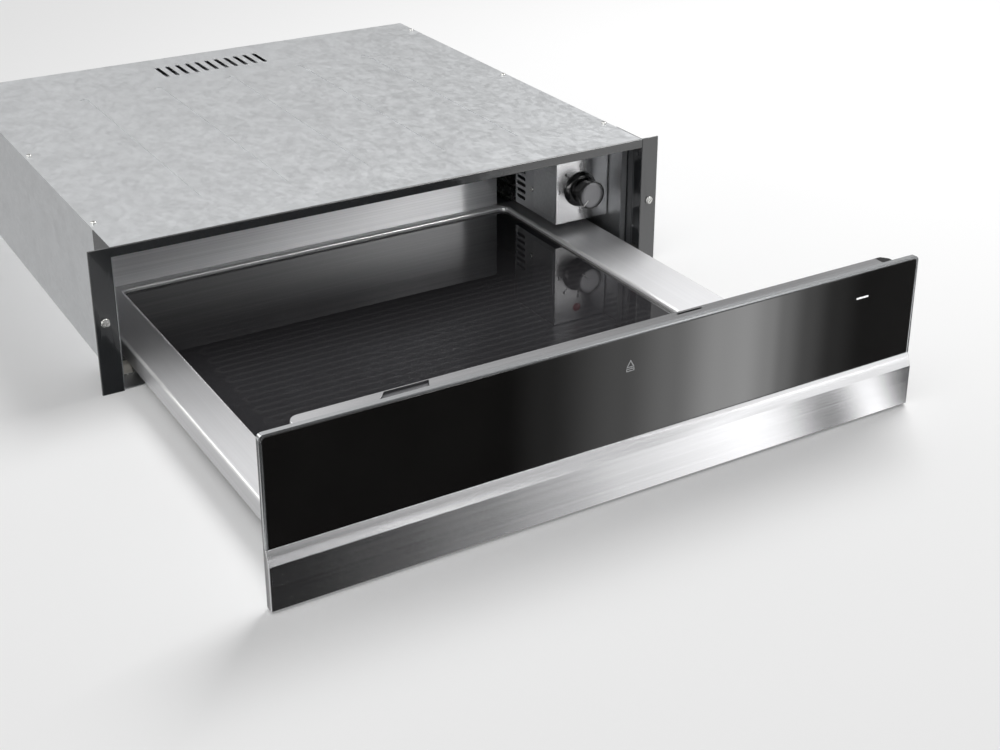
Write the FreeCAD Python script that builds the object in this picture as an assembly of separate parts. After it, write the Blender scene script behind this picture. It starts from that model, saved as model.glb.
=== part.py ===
import FreeCAD, Part
import math
import os

# Built-in warming drawer, millimetres.
# X runs to the right, Y runs into the cabinet, Z is up.
# The origin is on the cabinet's front edge (the rear face of the mounting flanges),
# midway between the side walls, on the underside of the casing.
# Drawer pieces are drawn with the drawer shut and moved out when they are saved.

Vector = FreeCAD.Vector

# Overall sizes; the casing stands back from the front's sides and top by the overlaps
front_width = 594.0
front_height = 140.0
front_foot = 1.5
side_overlap = 20.0
top_overlap = 3.0
casing_depth = 530.0
sheet = 1.0
bend = 1.0

# How far the drawer stands open as stored, and how far it still opens
rest_opening = 350.0
further_opening = 50.0

# Mounting flanges and the strip above the opening
flange_thickness = 2.0
flange_return = 45.0
flange_edge = 0.8
strip_height = 9.0
strip_return = 22.0
groove_width = 0.8
groove_depth = 0.3
groove_place = 12.0
mount_screw_inset = 9.0
mount_screw_height = 69.0
mount_hole = 4.5
mount_countersink = 8.5

# Casing walls
lip_width = 6.4
lip_place = 22.0
wall_flange = 8.0
wall_flange_setback = 6.0
wall_flange_end_gap = 10.0
tongue_front = 4.0
tongue_side_gap = 1.0
base_vent_count = 5
base_vent_pitch = 80.0
base_vent_size = (60.0, 6.0)
base_vent_inset = 57.0
bead_count = 5
bead_pitch = 85.0
bead_width = 8.0
bead_depth = 0.45
bead_front = 70.0
bead_end_gap = 110.0
slot_count = 11
slot_pitch = 12.0
slot_width = 5.0
top_slot_length = 40.0
top_slot_inset = 55.0
back_slot_length = 34.0
back_slot_drop = 26.0
back_slot_inset = 65.0

# Front assembly
shut_gap = 3.0
inner_depth = 11.5
backing = 1.2
glass_pane = 3.3
pane_edge = 0.4
rim = 2.0
rim_radius = 4.0
pane_gap = 0.2
pane_joint = 0.4
steel_top = 50.2
bevel_drop = 11.6
steel_step = 4.0
inner_overhang = 8.0
inner_foot = 6.0
inner_drop = 0.7
inner_radius = 8.0
inner_edge = 0.8
cap_width = 11.0
cap_foot = 60.0
cap_chamfer = 6.0
cap_edge = 1.5
grip_slot_inset = 66.0
grip_slot_length = 39.0
grip_slot_slant = (7.5, 4.0)
grip_slot_margin = 1.5
small_slot_place = 67.0
small_slot_size = (24.0, 2.2)
light_place = 237.0
light_drop = 24.5
light_size = (13.5, 2.2)
light_window = (16.0, 6.0)
light_block = (15.0, 9.0, 3.0)
light_board_size = (22.0, 16.0, 1.6)
light_socket_size = (10.0, 6.0, 4.4)
buffer_inset = 12.0
buffer_diameter = 8.0

# Drawer deck and heated plate
side_clearance = 15.0
rear_room = 22.0
deck_height = 28.0
skirt_foot = 10.0
deck_bend = 3.0
deck_left = 36.0
deck_right = 57.0
deck_front = 15.0
deck_rear = 8.0
recess_depth = 10.0
recess_radius = 8.0
recess_edge = 3.6
shelf_width = 10.0
shelf_corner = 2.0
bed = 0.5
plate_thickness = 4.0
plate_joint = 1.0
plate_edge = 0.5
seal_drop = 0.6
heater_thickness = 1.5
heater_band = 5.0
heater_pitch = 10.5
heater_margin = 18.0
heater_end_margin = 20.0
board_gap = 2.0
shelf_clearance = 0.5
pan_foot = 5.0
pan_front = 5.0
pan_rear = 2.0
pan_edge = 1.5
pan_flange = 8.0
rear_drop = 24.0
rear_hem = 5.0
rear_corner = 3.0
rear_box_gap = 11.0

# Temperature limiter and heater terminals
limiter_diameter = 16.0
limiter_flange = 21.0
limiter_depth = 6.0
limiter_pocket = 24.0
terminals_width = 28.0
terminals_length = 40.0
terminals_height = 15.0
terminals_inset = 60.0

# Control box and its knob, lamp and regulator
box_width = 64.0
box_gap = 1.0
box_front = 55.0
box_depth = 82.0
box_lift = 9.0
box_edge = 1.2
box_tab = 10.0
box_tab_setback = 12.0
panel_gap = 0.1
panel_tab_inset = 8.0
panel_tab_depth = 10.0
vent_count = 6
vent_pitch = 7.4
vent_height = 3.9
vent_length = 17.0
vent_lift = 7.0
vent_inset = 4.0
blank_plate_size = (40.0, 49.0, 0.3)
blank_plate_place = (4.0, 6.0)
side_screw_place = (47.0, 25.0)
knob_inset = 29.5
lamp_inset = 28.0
below_knob = 0.38
above_knob = 0.36
lamp_diameter = 9.5
lamp_flange = 0.7
lens_radius = 7.0
lens_wall = 1.2
lens_length = 6.0
lamp_holder_diameter = 11.0
lamp_holder_length = 17.0
skirt_diameter = 38.0
skirt_depth = 4.5
knob_diameter = 30.0
knob_height = 23.0
knob_lift = 0.6
knob_floor = 5.5
knob_wall = 4.0
cap_rim = 1.5
cap_depth = 0.8
cap_stand = 0.1
pointer_width = 1.4
pointer_start = 6.8
pointer_end_gap = 0.3
pointer_stand = 0.1
pointer_depth = 0.4
pointer_clearance = 0.05
pointer_angle = 225.0
shaft_diameter = 6.0
shaft_clearance = 0.05
shaft_end_gap = 0.5
shaft_depth = 11.5
bush_diameter = 10.0
regulator_size = (36.0, 30.0, 36.0)
blade_size = (6.3, 8.0, 0.8)
blade_grip = 1.0

# Runners
rail_wall = 1.2
rail_width = 12.5
rail_foot = 1.8
rail_top_gap = 0.8
rail_corner = 0.8
rail_lip = 3.5
rail_side_gap = 1.0
ball_gap = 2.5
ball_diameter = 2.2
ball_pitch = 28.0
ball_pocket_gap = 0.1
balls_in_row = 6
cage_wall = 0.5
cage_length = 180.0
cage_setback = 24.0
cage_side_gap = 0.25
bracket_wall = 1.5
bracket_foot = 9.0
bracket_gap = 1.0
bracket_drop = 0.7
bracket_lead = 2.0
outer_rail_front = 26.0
outer_rail_end_gap = 14.0
middle_rail_setback = 23.0
middle_rail_end_gap = 31.0
inner_rail_setback = 8.0
inner_rail_end_gap = 18.0
guide_length = 14.0
guide_clearance = 0.1

# Touch latch behind the drawer
latch_width = 40.0
latch_height = 24.0
latch_lift = 12.0
latch_edge = 1.5
latch_back_gap = 0.1
plunger_diameter = 8.0
plunger_length = 8.2
plunger_clearance = 0.05
plunger_edge = 1.2
latch_travel = 3.4
latch_gap = 0.3
striker_size = (28.0, 28.0, 1.5)
striker_radius = 3.0
spring_wire = 0.7
spring_turns = 5
spring_gap = 0.2
coil_gap = 0.05

# Mains inlet
gland_inset = 44.0
gland_drop = 31.0
gland_hole = 16.0
gland_bore = 8.0
gland_collar = (23.0, 3.0)
gland_nose = (15.0, 12.0, 10.0)
gland_neck = 4.0
gland_nut_width = 24.0
terminal_drop = 24.0
terminal_spread = 14.0
terminal_ear = 4.0
terminal_depth = 16.0
terminal_height = 20.0
terminal_pitch = 8.0

# Fasteners and small fits
screw_shank = 3.0
screw_head = 5.6
screw_head_height = 1.8
screw_cross_width = 0.8
screw_cross_depth = 0.9
short_screw = 4.0
hole_clearance = 0.1
rivet_head_height = 0.9
overcut = 1.0
slot_rounding = 0.48

# Worked out from the sizes above
casing_width = front_width - 2 * side_overlap
casing_height = front_height - top_overlap
wall_outside = casing_width / 2
wall_inside = wall_outside - sheet
back_inside = casing_depth - sheet
strip_foot = casing_height - strip_height
ceiling_height = strip_foot - sheet
ceiling_lip = strip_height - 3 * sheet
front_half = front_width / 2
deck_half = wall_outside - side_clearance
skirt_inside = deck_half - sheet
upstand_outside = skirt_inside - bracket_gap
rail_outside = upstand_outside - bracket_wall
pan_half = rail_outside - rail_width
full_opening = rest_opening + further_opening
front_inner = -flange_thickness - shut_gap
front_join = front_inner - inner_depth
pane_back = front_join - backing
pane_face = pane_back - glass_pane
steel_face = pane_face - steel_step
inner_left = -deck_half - inner_overhang
inner_right = deck_half
inner_top = front_height - inner_drop
light_height = front_height - light_drop
deck_under = deck_height - sheet
deck_end = casing_depth - rear_room
shelf_height = deck_height - recess_depth
recess_front = front_inner + deck_front
recess_end = deck_end - deck_rear
recess_left = -deck_half + deck_left
recess_right = deck_half - deck_right
plate_under = shelf_height + sheet + bed
plate_top = plate_under + plate_thickness
heater_foot = plate_under - heater_thickness
limiter_x = (recess_left + recess_right) / 2
limiter_y = (recess_front + recess_end) / 2
rear_height = ceiling_height - rear_drop
rear_panel_back = deck_end + sheet
box_right = wall_inside - box_gap
box_left = box_right - box_width
box_end = box_front + box_depth
box_foot = deck_height + box_lift
rear_panel_right = box_left - rear_box_gap
spare_height = ceiling_height - box_foot - skirt_diameter - lamp_diameter
knob_x = box_left + knob_inset
knob_z = box_foot + below_knob * spare_height + skirt_diameter / 2
knob_face = box_front - knob_height
lamp_x = box_left + lamp_inset
lamp_z = knob_z + (skirt_diameter + lamp_diameter) / 2 + above_knob * spare_height
lamp_hole = lamp_diameter - 2 * lamp_flange
gland_x = wall_inside - gland_inset
gland_z = ceiling_height - gland_drop
terminal_z = gland_z - terminal_drop
latch_foot = deck_height + latch_lift
latch_middle = latch_foot + latch_height / 2
plunger_tip = rear_panel_back + striker_size[2] + latch_gap
latch_face = plunger_tip + latch_travel + latch_back_gap

# Where the runners lie and how they are stacked, outermost first
rail_height = deck_under - rail_top_gap - rail_foot
outer_z = (rail_foot, rail_foot + rail_height)
middle_z = (outer_z[0] + rail_wall + ball_gap, outer_z[1] - rail_wall - ball_gap)
inner_z = (middle_z[0] + rail_wall + ball_gap, middle_z[1] - rail_wall - ball_gap)
middle_web = rail_outside - rail_wall - rail_side_gap
outer_cage_web = rail_outside - rail_wall - cage_side_gap
lip_end = pan_half + rail_lip
inner_lip = middle_web - rail_wall - 1.5 * rail_side_gap
inner_cage_web = inner_lip + rail_side_gap
outer_rail = (outer_rail_front, casing_depth - outer_rail_end_gap)
middle_rail = (outer_rail_front + middle_rail_setback, casing_depth - middle_rail_end_gap)
inner_rail = (front_inner + inner_rail_setback, deck_end - inner_rail_end_gap)
outer_cage_front = outer_rail[0] + full_opening / 4 + cage_setback
inner_cage_front = middle_rail[0] + full_opening / 4 + cage_setback


def point(plane, a, b, level):
    if plane == "xy":
        return Vector(a, b, level)
    if plane == "xz":
        return Vector(a, level, b)
    return Vector(level, a, b)


def direction(plane):
    return {"xy": Vector(0, 0, 1), "xz": Vector(0, 1, 0), "yz": Vector(1, 0, 0)}[plane]


def outline(corners, plane, level):
    """Closed face from corners (a, b) or (a, b, radius)."""
    flat = [Vector(corner[0], corner[1], 0) for corner in corners]
    count = len(corners)
    turns = []
    for index, here in enumerate(flat):
        radius = corners[index][2] if len(corners[index]) > 2 else 0
        if not radius:
            turns.append((here, None, here))
            continue
        back = (flat[index - 1] - here).normalize()
        ahead = (flat[(index + 1) % count] - here).normalize()
        half_angle = back.getAngle(ahead) / 2
        reach = radius / math.tan(half_angle)
        middle = here + (back + ahead).normalize() * (radius / math.sin(half_angle) - radius)
        turns.append((here + back * reach, middle, here + ahead * reach))
    edges = []
    for index in range(count):
        start, middle, stop = turns[index]
        last = turns[index - 1][2]
        if (start - last).Length > 1e-6:
            edges.append(Part.makeLine(point(plane, last.x, last.y, level),
                                       point(plane, start.x, start.y, level)))
        if middle is not None:
            edges.append(Part.Arc(point(plane, start.x, start.y, level),
                                  point(plane, middle.x, middle.y, level),
                                  point(plane, stop.x, stop.y, level)).toShape())
    return Part.Face(Part.Wire(edges))


def prism(corners, plane, start, end):
    return outline(corners, plane, start).extrude(direction(plane) * (end - start))


def rectangle(a0, a1, b0, b1, radius=0):
    return [(a0, b0, radius), (a1, b0, radius), (a1, b1, radius), (a0, b1, radius)]


def block(x0, x1, y0, y1, z0, z1):
    return Part.makeBox(x1 - x0, y1 - y0, z1 - z0, Vector(x0, y0, z0))


def bar(x, z, wide, tall, front, back):
    """Block of a given width and height about (x, z), from front to back along Y."""
    return block(x - wide / 2, x + wide / 2, front, back, z - tall / 2, z + tall / 2)


def rod(plane, a, b, diameter, start, end):
    return Part.makeCylinder(diameter / 2, end - start, point(plane, a, b, start), direction(plane))


def cone(plane, a, b, start_diameter, end_diameter, start, end):
    return Part.makeCone(start_diameter / 2, end_diameter / 2, end - start,
                         point(plane, a, b, start), direction(plane))


def slot(plane, a, b, a_size, b_size, start, end):
    """Cutter with round ends, centred on (a, b)."""
    radius = min(a_size, b_size) * slot_rounding
    corners = rectangle(a - a_size / 2, a + a_size / 2, b - b_size / 2, b + b_size / 2, radius)
    return prism(corners, plane, start, end)


def spread(count, pitch):
    """Places in a row of equal steps, centred on zero."""
    return [(index - (count - 1) / 2) * pitch for index in range(count)]


def joined(*shapes):
    result = shapes[0]
    for shape in shapes[1:]:
        result = result.fuse(shape)
    return result.removeSplitter()


def less(shape, *cutters):
    return shape.cut(Part.makeCompound(list(cutters)))


def mirrored(shape):
    return shape.mirror(Vector(0, 0, 0), Vector(1, 0, 0))


def close(a, b):
    return abs(a - b) < 0.01


def rounded(shape, radius, test):
    """Rounds the edges whose box passes the test."""
    return shape.makeFillet(radius, [edge for edge in shape.Edges if test(edge.BoundBox)])


def folded(points, thickness, plane, start, end):
    """Sheet folded along a line of points, with its thickness to the left of the line."""
    flat = [Vector(a, b, 0) for a, b in points]
    runs = [(after - before).normalize() for before, after in zip(flat, flat[1:])]
    lefts = [Vector(-run.y, run.x, 0) for run in runs]
    first_far = flat[0] + lefts[0] * thickness
    near = [(flat[0].x, flat[0].y)]
    far = [(first_far.x, first_far.y)]
    for index in range(1, len(flat) - 1):
        before, after = lefts[index - 1], lefts[index]
        shifted = flat[index] + (before + after) * (thickness / (1 + before.dot(after)))
        turns_left = runs[index - 1].cross(runs[index]).z > 0
        near.append((flat[index].x, flat[index].y, bend + thickness if turns_left else bend))
        far.append((shifted.x, shifted.y, bend if turns_left else bend + thickness))
    last_far = flat[-1] + lefts[-1] * thickness
    near.append((flat[-1].x, flat[-1].y))
    far.append((last_far.x, last_far.y))
    return prism(near + far[::-1], plane, start, end)


def hole(plane, a, b, level, reach=6.0):
    """Screw hole that runs the same way past a level on both sides."""
    return rod(plane, a, b, screw_shank + hole_clearance, level - reach, level + reach)


def screw(plane, a, b, seat, length, side):
    """Pan-head screw; its head lies on the given side of the seat, -1 or +1 along the axis."""
    tip = seat - side * length
    top = seat + side * screw_head_height
    shank = rod(plane, a, b, screw_shank, min(seat, tip), max(seat, tip))
    head = rod(plane, a, b, screw_head, min(seat, top), max(seat, top))
    rim_edges = [edge for edge in head.Edges
                 if isinstance(edge.Curve, Part.Circle)
                 and close(edge.Curve.Center.dot(direction(plane)), top)]
    head = head.makeFillet(screw_head_height * 0.4, rim_edges)
    arm = screw_head * 0.6
    cross = []
    for wide, tall in ((arm, screw_cross_width), (screw_cross_width, arm)):
        floor = min(top, top - side * screw_cross_depth)
        corner = point(plane, a - wide / 2, b - tall / 2, floor)
        size = point(plane, wide, tall, screw_cross_depth)
        cross.append(Part.makeBox(size.x, size.y, size.z, corner))
    return less(joined(head, shank), *cross)


# Where the screws and rivets go; the holes and the screws are made from the same places
seam = wall_inside - wall_flange / 2
top_screws = [(side * seam, place)
              for side in (-1, 1) for place in (60.0, casing_depth / 2, casing_depth - 40.0)]
back_screws = [(side * seam, height)
               for side in (-1, 1) for height in (30.0, casing_height - 30.0)]
bracket_screws = [(side * (upstand_outside + bracket_foot / 2 - 0.2), place)
                  for side in (-1, 1) for place in (60.0, casing_depth / 2, casing_depth - 50.0)]
front_screws = [(side * (pan_half - inset), (inner_foot + deck_height) / 2)
                for side in (-1, 1) for inset in (47.0, 157.0)]
rear_rivets = [(place, (skirt_foot + deck_height) / 2)
               for place in spread(5, (pan_half - 47.0) / 2)]
ceiling_screws = [(x, y) for x in (box_left + box_tab / 2, box_right - box_tab / 2)
                  for y in (box_front + 22.0, box_end - 12.0)]
side_screw = (box_front + side_screw_place[0], box_foot + side_screw_place[1])
latch_screws = [(side * (latch_width / 2 - 5.0), latch_middle) for side in (-1, 1)]
terminal_screws = [(gland_x + side * terminal_spread, terminal_z) for side in (-1, 1)]


def casing_base():
    plate = block(-wall_outside, wall_outside, 0, back_inside, 0, sheet)
    holes = [hole("xy", x, y, 0) for x, y in bracket_screws]
    vents = [slot("xy", x, casing_depth - base_vent_inset, *base_vent_size, -overcut, sheet + overcut)
             for x in spread(base_vent_count, base_vent_pitch)]
    return less(plate, *holes, *vents)


def casing_top():
    under = casing_height - sheet
    plate = block(-wall_outside, wall_outside, 0, back_inside, under, casing_height)
    holes = [hole("xy", x, y, casing_height) for x, y in top_screws]
    bead_length = casing_depth - bead_end_gap - bead_front
    beads = [slot("xy", x, bead_front + bead_length / 2, bead_width, bead_length,
                  casing_height - bead_depth, casing_height + overcut)
             for x in spread(bead_count, bead_pitch)]
    vents = [slot("xy", x, casing_depth - top_slot_inset, slot_width, top_slot_length,
                  under - overcut, casing_height + overcut)
             for x in spread(slot_count, slot_pitch)]
    return less(plate, *holes, *beads, *vents)


def ceiling_plate():
    """Plate over the drawer; it carries the control box and bends up at both sides."""
    half = wall_inside
    top = ceiling_height + sheet
    path = [(-half, top + ceiling_lip), (-half, ceiling_height),
            (half, ceiling_height), (half, top + ceiling_lip)]
    front, back = lip_place + 3 * sheet, back_inside - 3 * sheet
    plate = folded(path, sheet, "xz", front, back)
    tongue_half = half - wall_flange - tongue_side_gap
    tongue = block(-tongue_half, tongue_half, tongue_front, front, ceiling_height, top)
    holes = [hole("xy", x, y, ceiling_height) for x, y in ceiling_screws]
    return less(joined(plate, tongue), *holes)


def right_side_wall():
    inward = wall_inside - wall_flange
    path = [(wall_inside - lip_width, lip_place), (wall_outside, lip_place),
            (wall_outside, back_inside), (inward, back_inside)]
    wall = folded(path, sheet, "xy", sheet, casing_height - sheet)
    front, back = lip_place + wall_flange_setback, back_inside - wall_flange_end_gap
    flanges = [block(inward, wall_inside + sheet / 2, front, back, foot, foot + sheet)
               for foot in (sheet, casing_height - 2 * sheet)]
    holes = [hole("xy", x, y, casing_height) for x, y in top_screws]
    holes += [hole("xz", x, z, casing_depth) for x, z in back_screws]
    return less(joined(wall, *flanges), *holes)


def casing_back():
    plate = block(-wall_outside, wall_outside, back_inside, casing_depth, 0, casing_height)
    holes = [hole("xz", x, z, casing_depth) for x, z in back_screws + latch_screws + terminal_screws]
    inlet = rod("xz", gland_x, gland_z, gland_hole + hole_clearance,
                back_inside - overcut, casing_depth + overcut)
    first = -wall_inside + back_slot_inset
    vents = [slot("xz", first + index * slot_pitch, ceiling_height - back_slot_drop, slot_width,
                  back_slot_length, back_inside - overcut, casing_depth + overcut)
             for index in range(slot_count)]
    return less(plate, inlet, *holes, *vents)


def right_flange():
    """Angle on the casing's front edge: a broad face that screws to the cabinet and a short return."""
    corners = [(wall_outside, flange_return), (wall_outside + sheet, flange_return),
               (wall_outside + sheet, 0), (front_half, 0), (front_half, -flange_thickness, flange_edge),
               (wall_outside, -flange_thickness, flange_edge)]
    body = prism(corners, "xy", 0, casing_height)
    centre = front_half - mount_screw_inset
    bore = rod("xz", centre, mount_screw_height, mount_hole, -flange_thickness - overcut, overcut)
    sink_depth = min((mount_countersink - mount_hole) / 2, flange_thickness * 0.9)
    sink = cone("xz", centre, mount_screw_height, mount_countersink, mount_hole,
                -flange_thickness, -flange_thickness + sink_depth)
    groove = block(wall_outside - overcut, wall_outside + groove_depth, groove_place,
                   groove_place + groove_width, -overcut, casing_height + overcut)
    return less(body, bore, sink, groove)


def top_strip():
    front = -flange_thickness
    corners = [(front, strip_foot, flange_edge), (strip_return, strip_foot),
               (strip_return, strip_foot + sheet), (0, strip_foot + sheet),
               (0, casing_height), (front, casing_height, flange_edge)]
    return prism(corners, "yz", -wall_outside, wall_outside)


def casing_screws():
    bracket_screw = sheet + bracket_wall - hole_clearance
    screws = [screw("xy", x, y, casing_height, short_screw, 1) for x, y in top_screws]
    screws += [screw("xz", x, z, casing_depth, short_screw, 1) for x, z in back_screws]
    screws += [screw("xz", x, z, casing_depth, 2 * short_screw, 1) for x, z in latch_screws]
    screws += [screw("xy", x, y, sheet + bracket_wall, bracket_screw, 1) for x, y in bracket_screws]
    return screws


def cable_gland():
    collar_diameter, collar_depth = gland_collar
    nose_foot, nose_tip, nose_length = gland_nose
    collar_end = casing_depth + collar_depth
    collar = rod("xz", gland_x, gland_z, collar_diameter, casing_depth, collar_end)
    collar = rounded(collar, 1.0, lambda box: close(box.YMin, collar_end))
    neck = rod("xz", gland_x, gland_z, gland_hole, back_inside - gland_neck, casing_depth + overcut)
    nose = cone("xz", gland_x, gland_z, nose_foot, nose_tip, collar_end, collar_end + nose_length)
    bore = rod("xz", gland_x, gland_z, gland_bore, back_inside - gland_neck - overcut,
               collar_end + nose_length + overcut)
    return less(joined(collar, neck, nose), bore)


def gland_nut():
    corners = []
    for step in range(6):
        angle = math.radians(60 * step)
        corners.append((gland_x + gland_nut_width / 2 * math.cos(angle),
                        gland_z + gland_nut_width / 2 * math.sin(angle), flange_edge))
    nut = prism(corners, "xz", back_inside - gland_neck, back_inside)
    bore = rod("xz", gland_x, gland_z, gland_hole + hole_clearance,
               back_inside - gland_neck - overcut, back_inside + overcut)
    return less(nut, bore)


def terminal_block():
    face = back_inside - terminal_depth
    width = 2 * (terminal_spread + terminal_ear)
    body = bar(gland_x, terminal_z, width, terminal_height, face, back_inside)
    body = rounded(body, 1.0, lambda box: close(box.YMax, face))
    wire_diameter, clamp_diameter = 4.0, 3.4
    wire_z = terminal_z + terminal_height / 4
    top = terminal_z + terminal_height / 2
    entries = [rod("xz", gland_x + shift, wire_z, wire_diameter, face - overcut, back_inside - 6.0)
               for shift in spread(3, terminal_pitch)]
    clamps = [rod("xy", gland_x + shift, face + terminal_depth / 2, clamp_diameter, wire_z, top + overcut)
              for shift in spread(3, terminal_pitch)]
    ears = [rod("xz", x, z, screw_shank + hole_clearance, face - overcut, back_inside + overcut)
            for x, z in terminal_screws]
    return less(body, *entries, *clamps, *ears)


def control_box():
    shell = less(block(box_left, box_right, box_front + sheet, box_end, box_foot, ceiling_height),
                 block(box_left + sheet, box_right - sheet, box_front, box_end - sheet,
                       box_foot + sheet, ceiling_height + overcut))
    shell = rounded(shell, box_edge, lambda box: close(box.YMin, box_end) and box.ZLength > box_tab)
    tabs = [block(left, left + box_tab - sheet / 2, box_front + box_tab_setback, box_end - sheet / 2,
                  ceiling_height - sheet, ceiling_height)
            for left in (box_left + sheet / 2, box_right - box_tab)]
    vent_y = box_end - vent_inset - vent_length / 2
    first_vent = box_foot + vent_lift + vent_height / 2
    vents = [slot("yz", vent_y, first_vent + step * vent_pitch, vent_length, vent_height,
                  box_left - overcut, box_left + sheet + overcut) for step in range(vent_count)]
    holes = [hole("xy", x, y, ceiling_height) for x, y in ceiling_screws]
    holes.append(hole("yz", *side_screw, box_left, 3 * sheet))
    return less(joined(shell, *tabs), *vents, *holes)


def control_panel():
    """Fascia of the control box, with tabs that reach back inside its walls."""
    plate = prism(rectangle(box_left + panel_gap, box_right - panel_gap, box_foot + panel_gap,
                            ceiling_height - 5 * panel_gap, 1.0), "xz", box_front, box_front + sheet)
    plate = rounded(plate, 0.35, lambda box: close(box.YMax, box_front))
    tabs = [block(left, left + sheet, box_front + sheet / 2, box_front + panel_tab_depth,
                  box_foot + panel_tab_inset, ceiling_height - panel_tab_inset)
            for left in (box_left + sheet, box_right - 2 * sheet)]
    shaft_hole = rod("xz", knob_x, knob_z, bush_diameter + 2 * hole_clearance,
                     box_front - overcut, box_front + sheet + overcut)
    lamp_opening = rod("xz", lamp_x, lamp_z, lamp_hole, box_front - overcut, box_front + sheet + overcut)
    return less(joined(plate, *tabs), shaft_hole, lamp_opening)


def blank_plate():
    """Bare foil plate on the left of the control box."""
    long, tall, thick = blank_plate_size
    front = box_front + blank_plate_place[0]
    foot = box_foot + blank_plate_place[1]
    return prism(rectangle(front, front + long, foot, foot + tall, 1.5), "yz", box_left - thick, box_left)


def control_screws():
    """Screws of the control box and of the terminal block."""
    screws = [screw("xy", x, y, ceiling_height - sheet, 0.8 * short_screw, -1) for x, y in ceiling_screws]
    screws += [screw("xz", x, z, back_inside - terminal_depth, terminal_depth + sheet / 2, -1)
               for x, z in terminal_screws]
    return screws + [screw("yz", *side_screw, box_left, short_screw + sheet, -1)]


def energy_regulator():
    wide, deep, tall = regulator_size
    front = box_front + sheet
    back = front + deep
    body = rounded(bar(knob_x, knob_z, wide, tall, front, back), 2.0,
                   lambda box: close(box.YMin, front) and close(box.YMax, back))
    bush = rod("xz", knob_x, knob_z, bush_diameter, box_front, front + overcut)
    blade_wide, blade_long, blade_thick = blade_size
    blades = [bar(knob_x + shift, knob_z + lift, blade_wide, blade_thick,
                  back - blade_grip, back + blade_long)
              for shift in spread(2, wide / 2) for lift in spread(2, tall / 2)]
    bore = rod("xz", knob_x, knob_z, shaft_diameter + 2 * shaft_clearance,
               box_front - overcut, front + shaft_depth + shaft_end_gap)
    return less(joined(body, bush, *blades), bore)


def regulator_shaft():
    return rod("xz", knob_x, knob_z, shaft_diameter, knob_face + knob_floor + shaft_end_gap,
               box_front + sheet + shaft_depth)


def pointer_bar(clearance, end):
    """Bar on the knob's face, drawn from the middle to the top and turned clockwise to its place."""
    half = pointer_width / 2 + clearance
    front = knob_face - cap_stand - pointer_stand - clearance
    strip = block(knob_x - half, knob_x + half, front, knob_face + pointer_depth,
                  knob_z + pointer_start - clearance, knob_z + end)
    strip.rotate(Vector(knob_x, 0, knob_z), Vector(0, 1, 0), pointer_angle)
    return strip


def knob_body():
    """Turned knob: a stepped skirt, a waisted body and a seat for the cap."""
    back = box_front - knob_lift
    skirt, body = skirt_diameter / 2, knob_diameter / 2
    step = back - skirt_depth
    profile = [(0, back), (skirt - 0.6, back, 0.3), (skirt, back - 1.2, 0.5), (skirt - 2.0, step, 0.8),
               (body - 1.6, step, 0.8), (body - 0.4, knob_face + 5.0, 2.0), (body, knob_face, 0.7),
               (0, knob_face)]
    turned = outline(profile, "xy", knob_z).revolve(Vector(0, 0, knob_z), Vector(0, 1, 0), 360)
    turned.translate(Vector(knob_x, 0, 0))
    seat = rod("xz", knob_x, knob_z, knob_diameter - 2 * cap_rim, knob_face - overcut, knob_face + cap_depth)
    hollow = rod("xz", knob_x, knob_z, knob_diameter - 2 * knob_wall, back - 6.0, box_front)
    boss = rod("xz", knob_x, knob_z, shaft_diameter + 5.0, back - 7.0, back - 0.5)
    bore = rod("xz", knob_x, knob_z, shaft_diameter + 2 * shaft_clearance, knob_face + knob_floor, box_front)
    return less(joined(less(turned, seat, hollow), boss), bore, pointer_bar(pointer_clearance, skirt))


def knob_cap():
    face = knob_face - cap_stand
    disc = rod("xz", knob_x, knob_z, knob_diameter - 2 * cap_rim - cap_stand, face, knob_face + cap_depth)
    disc = rounded(disc, 0.3, lambda box: close(box.YMax, face))
    return less(disc, pointer_bar(pointer_clearance, skirt_diameter / 2))


def knob_pointer():
    return pointer_bar(0, knob_diameter / 2 - pointer_end_gap)


def indicator_lens():
    flange = rod("xz", lamp_x, lamp_z, lamp_diameter, box_front - 0.8, box_front)
    dome_depth = 2.4
    dome = Part.makeSphere(lens_radius, Vector(lamp_x, box_front - dome_depth + lens_radius, lamp_z))
    dome = dome.common(rod("xz", lamp_x, lamp_z, lamp_hole, box_front - lens_radius, box_front))
    neck = rod("xz", lamp_x, lamp_z, lamp_hole - hole_clearance, box_front, box_front + lens_length)
    hollow = rod("xz", lamp_x, lamp_z, lamp_hole - 2 * lens_wall, box_front + sheet / 2,
                 box_front + lens_length + overcut)
    return less(joined(flange, dome, neck), hollow)


def lamp_holder():
    front = box_front + sheet
    back = front + lamp_holder_length
    body = rod("xz", lamp_x, lamp_z, lamp_holder_diameter, front, back)
    socket = rod("xz", lamp_x, lamp_z, lamp_hole, box_front, box_front + lens_length + hole_clearance)
    _, blade_long, blade_thick = blade_size
    blades = [bar(lamp_x + shift, lamp_z, 3.5 * blade_thick, blade_thick,
                  back - blade_grip, back + blade_long)
              for shift in spread(2, lamp_holder_diameter / 2)]
    return less(joined(body, *blades), socket)


def channel(web, lip, low, high, wall, front, back):
    """C section whose web ends at x = web and whose lips end at x = lip."""
    inner = web - wall if web > lip else web + wall
    radius = min(wall, rail_corner)
    corners = [(lip, low), (web, low, radius), (web, high, radius), (lip, high),
               (lip, high - wall), (inner, high - wall), (inner, low + wall), (lip, low + wall)]
    return prism(corners, "xz", front, back)


def right_outer_rail():
    return channel(rail_outside, lip_end, *outer_z, rail_wall, *outer_rail)


def right_middle_rail():
    """Rail between the two others, with a square tab on its front end."""
    rail = channel(middle_web, lip_end, *middle_z, rail_wall, *middle_rail)
    front = middle_rail[0]
    tab_foot = outer_z[0] + rail_wall + rail_side_gap / 3
    tab = block(lip_end, middle_web, front, front + rail_wall, tab_foot, middle_z[0] + rail_wall)
    return joined(rail, tab)


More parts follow.
